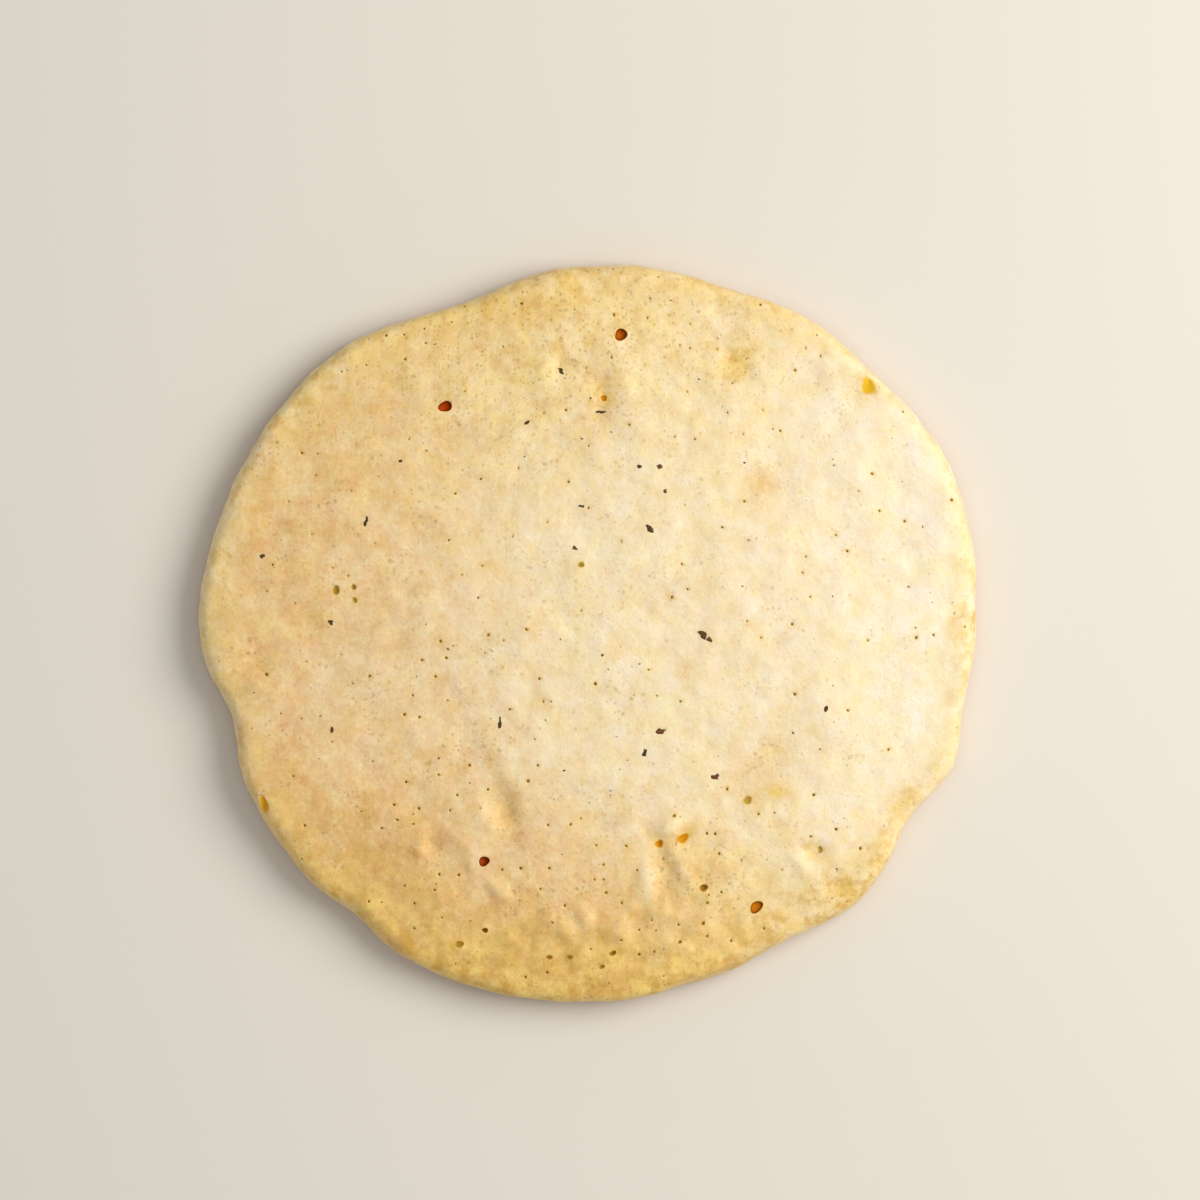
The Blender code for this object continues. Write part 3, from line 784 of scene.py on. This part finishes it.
# The browned underside in mm: a shallow shell that wraps up the foot to the seam. Blisters are the hollows
# where steam kept the batter off the griddle.
underside = {
    "cells": 190,
    "sideRows": 12,
    "rowPower": 1.6,          # above 1 the rows are closer together round the foot
    "overlap": 0.9,           # how far it goes on past the seam
    "lowest": 0.01,
    "capHeight": 0.95,
    "capInset": 6.0,
    "ripples": [(9.0, 0.5), (3.5, 0.4), (1.8, 0.3)],
    "wavesEach": 22,
    "reliefHeight": 0.10,
    "mostRelief": 1.5,
    "blisters": 260,
    "blisterReach": 0.96,
    "blisterRadius": (0.5, 1.5),
    "blisterDepth": (0.08, 0.28),
    "fadePerRing": 30,        # the relief fades out towards the foot's edge, as a share of the way out
    "edgeReach": 1.6,         # how far in the golden edge goes, and its share at the foot
    "edgeShare": 0.45,
    "seed": 9,
}


def makeUnderside():
    # a disc on the floor with a fine relief, its rim turned up round the foot to the seam and then in under
    # the crown's skin, closed by a flat cap inside the crown
    surface = Surface("crustEdge")
    line = np.linspace(-1, 1, underside["cells"] + 1)
    ring, angle = discPlace(*np.meshgrid(line, line, indexing="ij"))
    foot = outlineRadius(angle) - form["footTuck"]
    distance = ring * foot
    flat = np.stack([distance * np.cos(angle), distance * np.sin(angle), 0 * angle], axis=-1)
    fine = seededRipples(underside["ripples"], underside["wavesEach"], underside["seed"])
    relief = underside["reliefHeight"] * np.clip(rippled(flat, fine), 0, underside["mostRelief"])
    blisters = scatteredSpots(
        np.random.default_rng(underside["seed"]), underside["blisters"], underside["blisterReach"],
        underside["blisterRadius"], underside["blisterDepth"])
    for x, y, radius, depth in blisters:
        relief += depth * np.exp(-((flat[..., 0] - x) ** 2 + (flat[..., 1] - y) ** 2) / radius ** 2)
    flat[..., 2] = relief * np.clip((1 - ring) * underside["fadePerRing"], 0, 1)
    edge = underside["edgeShare"] * np.exp(-0.5 * ((foot - distance) / underside["edgeReach"]) ** 2)
    number = surface.add(flat, mapPlace(distance, angle), crustEdge=edge).reshape(ring.shape)
    corners = np.stack([number[:-1, :-1], number[:-1, 1:], number[1:, 1:], number[1:, :-1]], axis=-1)
    surface.faces.append(corners.reshape(-1, 4))

    half = underside["cells"] // 2
    rim = blockRim(half, half, half)
    angle, lower, way = angle[rim], number[rim], distance[rim]
    low, line = widestLine(angle), seamHeight(angle)
    for row in range(1, underside["sideRows"] + 1):
        climb = (row / underside["sideRows"]) ** underside["rowPower"]
        height = np.minimum((line + underside["overlap"]) * climb, low)
        bend = tuckBend(angle, height)
        skin = tuckSkin(angle, bend)
        skin -= tuckNormal(angle, bend) * dive(skin[:, 2] - line)[:, None]
        skin[:, 2] = np.maximum(skin[:, 2], underside["lowest"])
        place = mapPlace(way + form["footTuck"] * np.cos(bend) + height, angle)
        edge = np.clip(underside["edgeShare"] + (1 - underside["edgeShare"]) * height / line, 0, 1)
        upper = surface.add(skin, place, crustEdge=edge)
        surface.faces.append(strip(upper, lower))
        lower = upper
    surface.close(lower, skin, place, underside["capInset"], underside["capHeight"], up=True)
    return surface.mesh("griddledUnderside")


def fitToBox(pieces):
    # shifts and stretches the pieces alike, by under one per cent across and a few in height, so that they
    # fill the solid's box
    low, high = (np.array(corner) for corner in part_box("pancake"))
    low[2] = 0.0
    spots = []
    for piece in pieces:
        spot = np.empty(len(piece.data.vertices) * 3)
        piece.data.vertices.foreach_get("co", spot)
        spots.append(spot.reshape(-1, 3))
    every = np.concatenate(spots)
    start, size = every.min(axis=0), np.ptp(every, axis=0)
    start[2], size[2] = 0.0, every[:, 2].max()
    stretch = (high - low) / size
    print("fit to the box:", [round(float(s), 4) for s in stretch])
    for piece, spot in zip(pieces, spots):
        piece.data.vertices.foreach_set("co", ((spot - start) * stretch + low).ravel())
        piece.data.update()
    return lambda points: ((points * mm - start) * stretch + low) / mm


pancakeCrown = makeCrown()
griddledUnderside = makeUnderside()
toBox = fitToBox([pancakeCrown, griddledUnderside])
for piece in (pancakeCrown, griddledUnderside):
    print(piece.name, len(piece.data.polygons), "faces")

# Dark specks of bran in mm: x, y, half length, half width, turn in degrees, shade from 0 dark to 1 reddish
branSpecks = {
    "placed": [
        (-43.0, 21.7, 1.05, 0.40, 82, 0.1), (11.8, 20.3, 1.30, 0.74, -58, 0.0),
        (22.1, 0.2, 1.25, 1.00, -40, 0.5), (23.2, -0.9, 0.80, 0.60, -30, 0.9),
        (-5.3, 50.9, 0.84, 0.46, -50, 0.0), (-17.1, -16.8, 1.15, 0.38, 88, 0.1),
        (46.0, -14.3, 0.66, 0.46, 60, 0.1), (13.9, -18.5, 0.80, 0.66, 20, 0.8),
        (11.0, -22.5, 0.98, 0.62, 70, 0.1), (24.6, -27.4, 0.92, 0.72, 20, 0.9),
        (-2.6, 16.7, 0.58, 0.44, 0, 0.1), (-63.0, 15.2, 0.76, 0.50, 30, 0.3),
        (-49.9, 2.5, 0.68, 0.50, -20, 0.3), (-49.7, -18.3, 0.72, 0.44, 90, 0.3),
        (13.8, 32.5, 0.62, 0.54, 0, 0.7), (9.9, 32.5, 0.44, 0.38, 0, 0.2),
        (14.8, 27.7, 0.44, 0.36, 0, 0.3), (2.4, 42.9, 0.98, 0.30, 5, 0.1),
        (-11.9, 40.8, 0.66, 0.42, 35, 0.2), (-36.4, 33.5, 0.58, 0.40, 20, 0.3),
        (-1.4, 24.8, 0.62, 0.34, -8, 0.1),
    ],
    "scattered": 190,
    "reach": 0.95,            # share of the outline that they are scattered over
    "size": (0.08, 0.24),
    "lengthShare": (1.0, 1.6),
    "widthShare": (0.6, 1.0),
    "uneven": (0.45, 1.3),
    "sides": 9,
    "thickness": 0.20,
    "fullWidth": 0.4,         # half width from which a speck has its full thickness
    # the top point, the inner ring, the outer ring and the lowest point: shares of the size and thickness
    "rings": (0.0, 0.62, 1.0, 0.0),
    "lifts": (0.40, 0.32, 0.0, -0.60),
    "seed": 14,
}


def topHeight(x, y):
    # the skin's height over a place on the top, from the same dome, roll and ripples as the crown
    angle = np.arctan2(y, x)
    radius, distance = outlineRadius(angle), np.hypot(x, y)
    roll, low = rollReach(angle), widestLine(angle)
    fall = rollFall(np.clip((distance - radius + roll) / roll, 0, 1))
    height = low + (domeHeight(x, y, distance / radius) - low) * fall
    return height + skinRise(np.stack([x, y, height], axis=-1))


def makeSpecks():
    # flakes of bran pressed into the skin: each is a ring of uneven radius and a smaller ring inside it, laid
    # on the skin and lifted a little towards the middle, closed below it
    draw = np.random.default_rng(branSpecks["seed"])
    count, sides = branSpecks["scattered"], branSpecks["sides"]
    out, bearing = branSpecks["reach"] * np.sqrt(draw.uniform(0, 1, count)), draw.uniform(0, math.tau, count)
    distance = out * outlineRadius(bearing)
    size = branSpecks["size"][0] + np.ptp(branSpecks["size"]) * draw.uniform(0, 1, count) ** 2
    scattered = np.stack([
        distance * np.cos(bearing), distance * np.sin(bearing),
        size * draw.uniform(*branSpecks["lengthShare"], count),
        size * draw.uniform(*branSpecks["widthShare"], count),
        draw.uniform(0, 180, count), draw.uniform(0, 1, count) ** 2], axis=1)
    rows = np.concatenate([np.array(branSpecks["placed"]), scattered])
    x, y, halfLength, halfWidth, turn, shade = (column[:, None] for column in rows.T)
    step = math.tau * np.arange(sides) / sides + draw.uniform(0, 1, (len(rows), 1))
    uneven = draw.uniform(*branSpecks["uneven"], (len(rows), sides))
    ringCounts = [1, sides, sides, 1]
    around = np.concatenate([step[:, :1], step, step, step[:, :1]], axis=1)
    wobble = np.concatenate([uneven[:, :1], uneven, uneven, uneven[:, :1]], axis=1)
    wobble = wobble * np.repeat(branSpecks["rings"], ringCounts)
    lift = np.repeat(branSpecks["lifts"], ringCounts) * branSpecks["thickness"]
    along, across = halfLength * wobble * np.cos(around), halfWidth * wobble * np.sin(around)
    c, s = np.cos(np.radians(turn)), np.sin(np.radians(turn))
    spotX, spotY = x + along * c - across * s, y + along * s + across * c
    lift = lift * np.minimum(halfWidth / branSpecks["fullWidth"], 1)
    points = np.stack([spotX, spotY, topHeight(spotX, spotY) + lift], axis=-1)

    side = np.arange(sides)
    after = (side + 1) % sides
    inner, innerNext = 1 + side, 1 + after
    outer, outerNext = inner + sides, innerNext + sides
    last = 1 + 2 * sides
    top, bottom = side * 0, side * 0 + last
    fans = np.concatenate([
        np.stack([top, inner, innerNext], axis=1), np.stack([outer, bottom, outerNext], axis=1)])
    quads = np.stack([inner, outer, outerNext, innerNext], axis=1)
    first = (np.arange(len(rows)) * (last + 1))[:, None, None]
    faces = (first + fans).reshape(-1, 3).tolist() + (first + quads).reshape(-1, 4).tolist()
    data = bpy.data.meshes.new("branSpecks")
    data.from_pydata((toBox(points.reshape(-1, 3)) * mm).tolist(), [], faces)
    paint(data, "shade", np.repeat(shade, last + 1))
    data.shade_smooth()
    print("specks:", len(rows))
    return linked("branSpecks", data)


branFlakes = makeSpecks()

# Colours in sRGB. The tints multiply what lies under them.
colors = {
    "pale": "#FDF4EC",
    "cream": "#F7E9D7",
    "cooked": "#EED2A1",
    "baked": "#DDBC84",
    "yellowTint": "#FDF7D4",
    "peachTint": "#FCECE8",
    "tanTint": "#EEDDBE",
    "lightCream": "#FFF6DC",
    "freckle": "#B08A48",
    "olive": "#B89A44",
    "gold": "#F1D07A",
    "deepGold": "#D6AA52",
    "footGold": "#CE9448",
    "holeYellow": "#E4B824",
    "holeOrange": "#D38A0A",
    "holeRed": "#BE4400",
    "holeOlive": "#BE9B3E",
    # painted shade for the holes' walls below the lip and the small holes' middles
    "paintedHoleShade": "#6E3A08",
    "poreShade": "#AC8748",
    "crust": "#B67231",
    "crustDark": "#7F4519",
    "crustPale": "#D9A761",
    "bran": "#35260F",
    "branRed": "#6E3A20",
    "floor": "#E4DFD6",
}


def linear(code):
    # sRGB hex to linear light
    parts = [int(code[i:i + 2], 16) / 255 for i in (1, 3, 5)]
    return tuple(p / 12.92 if p <= 0.04045 else ((p + 0.055) / 1.055) ** 2.4 for p in parts) + (1.0,)


def addNode(tree, kind, sockets={}, **settings):
    # adds one node, sets its properties, and sets or links its input sockets, by name or by number
    made = tree.nodes.new(kind)
    for name, value in settings.items():
        setattr(made, name, value)
    for name, value in sockets.items():
        if isinstance(value, bpy.types.NodeSocket):
            tree.links.new(value, made.inputs[name])
        else:
            made.inputs[name].default_value = value
    return made


def startMaterial(name, settings):
    # a material with its shader's fixed values, and the place on the piece that its patterns read
    material = bpy.data.materials.new(name)
    material.use_nodes = True
    tree = material.node_tree
    shader = tree.nodes["Principled BSDF"]
    for socket, value in settings.items():
        shader.inputs[socket].default_value = value
    return material, tree, shader, addNode(tree, "ShaderNodeTexCoord").outputs["Object"]


def share(tree, *parts):
    # the product of its parts. A part given as (value, low, high, start, end) runs from start to end as the
    # value runs from low to high.
    total = None
    for part in parts:
        if isinstance(part, tuple):
            value, low, high, start, end = part
            part = addNode(tree, "ShaderNodeMapRange", {
                "Value": value, "From Min": low, "From Max": high, "To Min": start, "To Max": end}).outputs[0]
        total = part if total is None else addNode(
            tree, "ShaderNodeMath", {0: total, 1: part}, operation="MULTIPLY", use_clamp=True).outputs[0]
    return total


def cloud(tree, place, size, low, high, amount, detail=2.0, shift=0.0, start=0.0):
    # a noise of patches about size mm across, turned into a share that rises from start to amount as the
    # noise goes from low to high. Shift picks another noise of the same kind.
    noise = addNode(tree, "ShaderNodeTexNoise", {
        "Vector": place, "W": shift, "Scale": 1 / (size * mm), "Detail": detail, "Roughness": 0.6},
        noise_dimensions="4D")
    return share(tree, (noise.outputs[0], low, high, start, amount))


def dots(tree, place, spacing, radius, edge, amount, ragged=0.0):
    # spots about spacing mm apart, each up to radius mm big by a draw of its own, with an edge that falls off
    # over edge mm. Ragged mm of noise is added to the place first, which breaks their round outlines.
    if ragged:
        stir = addNode(tree, "ShaderNodeTexNoise", {
            "Vector": place, "Scale": 1 / (3 * radius * mm), "Detail": 2.0}).outputs["Color"]
        place = addNode(tree, "ShaderNodeVectorMath", {
            0: stir, 1: (2 * ragged * mm,) * 3, 2: place}, operation="MULTIPLY_ADD").outputs[0]
    cell = addNode(tree, "ShaderNodeTexVoronoi", {"Vector": place, "Scale": 1 / (spacing * mm)}).outputs
    drawn = addNode(tree, "ShaderNodeSeparateXYZ", {0: cell["Color"]}).outputs["X"]
    reach = addNode(tree, "ShaderNodeMath", {0: cell["Distance"], 1: drawn}, operation="DIVIDE").outputs[0]
    return share(tree, (reach, (radius + edge) / spacing, radius / spacing, 0.0, amount))


def layered(tree, color, layers, blend="MIX"):
    # lays one colour after another over the first, each by its own share
    for part, name in layers:
        color = addNode(tree, "ShaderNodeMix", {
            0: part, 6: color, 7: linear(colors[name])}, data_type="RGBA", blend_type=blend).outputs[2]
    return color


def bumped(tree, heights):
    # a chain of bumps: height in mm and a share that says where it stands
    normal = None
    for rise, part in heights:
        sockets = {"Height": part, "Distance": rise * mm, "Strength": 1.0}
        if normal:
            sockets["Normal"] = normal
        normal = addNode(tree, "ShaderNodeBump", sockets).outputs["Normal"]
    return normal


def batterSkin():
    # Buttermilk batter set on a griddle, its upper side still pale: dull and slightly moist, cream with
    # drifts of yellow and peach, a few tan freckles and pinholes, golden where it thins out at the edge.
    # Light gets a mm into it, so that its shadows are soft and warm, and the bubble holes glow orange before
    # they go dark with painted shade below the lip.
    material, tree, shader, place = startMaterial("griddledBatter", {
        "Roughness": 0.5, "IOR": 1.42, "Subsurface Weight": 0.30, "Subsurface Radius": (1.0, 0.6, 0.3),
        "Subsurface Scale": 0.0009})
    shares, clouds, spots = partial(share, tree), partial(cloud, tree, place), partial(dots, tree, place)
    cooked, yellowed, gold, wall, tone = (
        addNode(tree, "ShaderNodeAttribute", attribute_name=name).outputs["Fac"]
        for name in ("cooked", "yellowed", "gold", "wallDepth", "holeTone"))
    height = addNode(tree, "ShaderNodeSeparateXYZ", {0: place}).outputs["Z"]
    # the cooked share also carries painted light and shade: the paler +X side and left rim, and a few patches
    color = layered(tree, linear(colors["pale"]), [
        (shares((cooked, 0.0, 0.5, 0.0, 1.0)), "cream"),
        (shares((cooked, 0.5, 1.0, 0.0, 1.0)), "cooked"),
        (shares((cooked, 1.0, 1.3, 0.0, 1.0)), "baked"),
        (clouds(9.0, 0.50, 0.72, 0.50, detail=3, shift=7), "lightCream"),
        (clouds(1.2, 0.52, 0.70, 0.40, detail=3, shift=33), "lightCream"),
    ])
    # drifts and fine mottling, as tints, each less where the skin is less yellowed or less cooked
    drift = shares((cooked, 0.50, 0.95, 0.10, 0.90))
    yellowing, yellowest = (yellowed, 0.0, 0.5, 0.5, 1.1), (yellowed, 0.2, 0.6, 0.0, 1.0)
    color = layered(tree, color, [
        (yellowed, "yellowTint"),
        (clouds(13.0, 0.38, 0.62, 0.28, shift=4), "yellowTint"),
        (clouds(5.0, 0.42, 0.62, 0.66, detail=4, shift=14, start=0.20), "yellowTint"),
        (shares(yellowing, clouds(2.2, 0.46, 0.62, 0.60, detail=4, shift=44, start=0.10)), "yellowTint"),
        (shares(drift, clouds(11.0, 0.42, 0.62, 0.30, shift=24)), "peachTint"),
        (shares(drift, clouds(3.4, 0.42, 0.64, 0.85, detail=3, shift=1)), "peachTint"),
        (shares((cooked, 0.2, 1.0, 0.4, 1.0), clouds(4.0, 0.46, 0.70, 0.7, detail=4, shift=31)), "tanTint"),
        (shares((cooked, 0.3, 1.0, 0.35, 1.0), clouds(0.8, 0.46, 0.68, 0.50, detail=4, shift=41)), "tanTint"),
        (shares(yellowest, clouds(3.0, 0.48, 0.62, 0.60, detail=4, shift=51)), "tanTint"),
    ], blend="MULTIPLY")
    # the golden edge, freckles and pores, all of them weaker down the side
    upper = shares((height, 3.5 * mm, 7.5 * mm, 0.30, 1.0))
    spread = shares(clouds(9.0, 0.48, 0.64, 1.0, shift=9, start=0.15), (cooked, 0.1, 0.9, 0.4, 1.0), upper)
    skinOnly = shares((wall, 0.0, 0.02, 1.0, 0.0))
    pores = shares(
        spots(2.2, 0.26, 0.14, 0.45, ragged=0.16), (yellowed, 0.1, 0.6, 0.55, 1.0), skinOnly, upper)
    brokenGold = shares(gold, upper, clouds(4.5, 0.40, 0.60, 1.25, detail=5, shift=3, start=0.25))
    deepGold = shares(gold, upper, clouds(2.4, 0.46, 0.64, 1.1, detail=4, shift=5))
    oliveSpots = shares(spots(0.9, 0.26, 0.14, 0.50, ragged=0.4), yellowest, upper)
    foot = shares((height, 3.6 * mm, 1.3 * mm, 0.0, 1.0), clouds(1.8, 0.35, 0.6, 1.0, shift=6, start=0.7))
    color = layered(tree, color, [
        (brokenGold, "gold"),
        (deepGold, "deepGold"),
        (shares(spots(1.5, 0.34, 0.26, 0.50, ragged=0.4), spread), "freckle"),
        (shares(spots(0.8, 0.22, 0.14, 0.46, ragged=0.25), spread), "freckle"),
        (oliveSpots, "olive"),
        (pores, "poreShade"),
        (foot, "footGold"),
    ])
    # the bubble holes' walls from the lip down, with painted shade below the lip of those of the middle tones
    opened = shares((wall, 0.0, 0.14, 0.0, 1.0))
    paintedShadeBelowLip = shares(
        (wall, 0.10, 0.45, 0.0, 1.0), (wall, 0.65, 0.95, 1.0, 0.0), (tone, 0.9, 1.3, 0.0, 0.72),
        (tone, 2.6, 3.3, 1.0, 0.0))
    color = layered(tree, color, [
        (opened, "holeYellow"),
        (shares(opened, (tone, 0.0, 1.0, 0.0, 1.0)), "holeOrange"),
        (shares(opened, (tone, 1.0, 2.0, 0.0, 1.0)), "holeRed"),
        (shares(opened, (tone, 2.0, 3.0, 0.0, 1.0)), "holeOlive"),
        (paintedShadeBelowLip, "paintedHoleShade"),
    ])
    tree.links.new(color, shader.inputs["Base Color"])
    tree.links.new(shares((wall, 0.0, 0.3, 0.42, 0.08)), shader.inputs["Specular IOR Level"])
    tree.links.new(clouds(2.5, 0.35, 0.65, 0.60, shift=8, start=0.42), shader.inputs["Roughness"])
    tree.links.new(bumped(tree, [
        (0.08, clouds(1.6, 0.3, 0.7, 1.0, detail=3, shift=11)),
        (0.022, clouds(0.5, 0.3, 0.7, 1.0, detail=2, shift=12)),
        (0.12, shares((pores, 0.0, 1.0, 1.0, 0.0))),
    ]), shader.inputs["Normal"])
    return material


def griddleCrust():
    # The side that lay on the griddle: sugar and milk browned to an even, dry crust, with a darker bloom in
    # places, pale patches and pores where steam kept the batter off the metal, and a golden edge.
    material, tree, shader, place = startMaterial("griddledCrust", {
        "Roughness": 0.62, "IOR": 1.45, "Specular IOR Level": 0.35, "Subsurface Weight": 0.08,
        "Subsurface Radius": (1.0, 0.45, 0.2), "Subsurface Scale": 0.0015})
    clouds = partial(cloud, tree, place)
    edge = addNode(tree, "ShaderNodeAttribute", attribute_name="crustEdge").outputs["Fac"]
    poreSpread = clouds(9, 0.40, 0.60, 1.0, shift=2, start=0.3)
    pores = share(tree, dots(tree, place, 2.2, 0.30, 0.30, 0.9), poreSpread)
    color = layered(tree, linear(colors["crust"]), [
        (clouds(22, 0.42, 0.62, 0.75, detail=3), "crustDark"),
        (clouds(7, 0.50, 0.66, 0.55, detail=4, shift=3), "crustPale"),
        (clouds(1.6, 0.50, 0.68, 0.55, detail=3, shift=5), "crustDark"),
        (pores, "crustPale"),
        (clouds(0.7, 0.55, 0.72, 0.35, shift=6), "crustPale"),
        (edge, "footGold"),
    ])
    tree.links.new(color, shader.inputs["Base Color"])
    tree.links.new(clouds(3, 0.35, 0.65, 0.72, shift=8, start=0.5), shader.inputs["Roughness"])
    tree.links.new(bumped(tree, [
        (0.09, clouds(1.3, 0.3, 0.7, 1.0, detail=4, shift=11)),
        (0.12, pores),
    ]), shader.inputs["Normal"])
    return material


def branHusk():
    # Wheat bran, milled to flakes and toasted: dry, almost black, some of it reddish.
    material, tree, shader, place = startMaterial("toastedBran", {
        "Roughness": 0.7, "IOR": 1.45, "Specular IOR Level": 0.3})
    shade = addNode(tree, "ShaderNodeAttribute", attribute_name="shade").outputs["Fac"]
    color = layered(tree, linear(colors["bran"]), [
        (shade, "branRed"),
        (cloud(tree, place, 0.35, 0.45, 0.7, 0.35), "freckle"),
    ])
    tree.links.new(color, shader.inputs["Base Color"])
    grain = cloud(tree, place, 0.25, 0.3, 0.7, 1.0, detail=2)
    tree.links.new(bumped(tree, [(0.03, grain)]), shader.inputs["Normal"])
    return material


finishes = [(pancakeCrown, batterSkin()), (griddledUnderside, griddleCrust()), (branFlakes, branHusk())]
for piece, finish in finishes:
    piece.data.materials.append(finish)
    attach(piece, "root")
    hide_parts("pancake")
print("materials made")

# The view in mm: straight down, with the frame's middle a little above and right of the pancake's. The
# frame is as wide as its width says at the height given after it.
view = {
    "middle": (2.45, 6.5),
    "frameWidth": 231.6,
    "atHeight": 3.0,
    "height": 1900.0,
    "sensor": 36.0,
    "clip": (10.0, 20000.0),
}
# One big soft lamp at the right, by its turn from +X and its rise above the floor in degrees, its distance
# and size in mm and its power, and the even light of the room
light = {
    "keyTurn": 16,
    "keyRise": 46.5,
    "keyDistance": 900.0,
    "keySize": 680.0,
    "keyWatts": 6.75,
    "keyColor": "#FFFAF2",
    "skyColor": "#F1F1F0",
    "skyStrength": 0.53,
}
floorBoard = {"half": 3000.0, "drop": 0.05}   # half its side and how far it lies below the foot, in mm


def makeCamera():
    camera = linked("camera", bpy.data.cameras.new("camera"))
    distance = view["height"] - view["atHeight"]
    camera.data.sensor_width = view["sensor"]
    camera.data.lens = view["sensor"] * distance / view["frameWidth"]
    camera.data.clip_start, camera.data.clip_end = (reach * mm for reach in view["clip"])
    camera.location = [size * mm for size in (*view["middle"], view["height"])]
    scene.camera = camera


def makeLight():
    turn, rise = math.radians(light["keyTurn"]), math.radians(light["keyRise"])
    way = np.array([math.cos(turn) * math.cos(rise), math.sin(turn) * math.cos(rise), math.sin(rise)])
    lamp = bpy.data.lights.new("keyLight", "AREA")
    lamp.shape, lamp.size, lamp.energy = "DISK", light["keySize"] * mm, light["keyWatts"]
    lamp.color = linear(light["keyColor"])[:3]
    key = linked("keyLight", lamp)
    key.location = way * light["keyDistance"] * mm
    key.rotation_euler = (math.pi / 2 - rise, 0, turn + math.pi / 2)
    world = bpy.data.worlds.new("softRoom")
    world.use_nodes = True
    sky = world.node_tree.nodes["Background"]
    sky.inputs["Color"].default_value = linear(light["skyColor"])
    sky.inputs["Strength"].default_value = light["skyStrength"]
    scene.world = world
    scene.view_settings.view_transform = "Standard"


def makeFloor():
    # a plain matt board, wide enough to fill every view
    half, height = floorBoard["half"] * mm, -floorBoard["drop"] * mm
    corners = [(-half, -half, height), (half, -half, height), (half, half, height), (-half, half, height)]
    data = bpy.data.meshes.new("floor")
    data.from_pydata(corners, [], [(0, 1, 2, 3)])
    data.materials.append(startMaterial("mattBoard", {
        "Base Color": linear(colors["floor"]), "Roughness": 0.8, "Specular IOR Level": 0.2})[0])
    linked("floor", data)


makeCamera()
makeLight()
makeFloor()
print("camera, light and floor made")
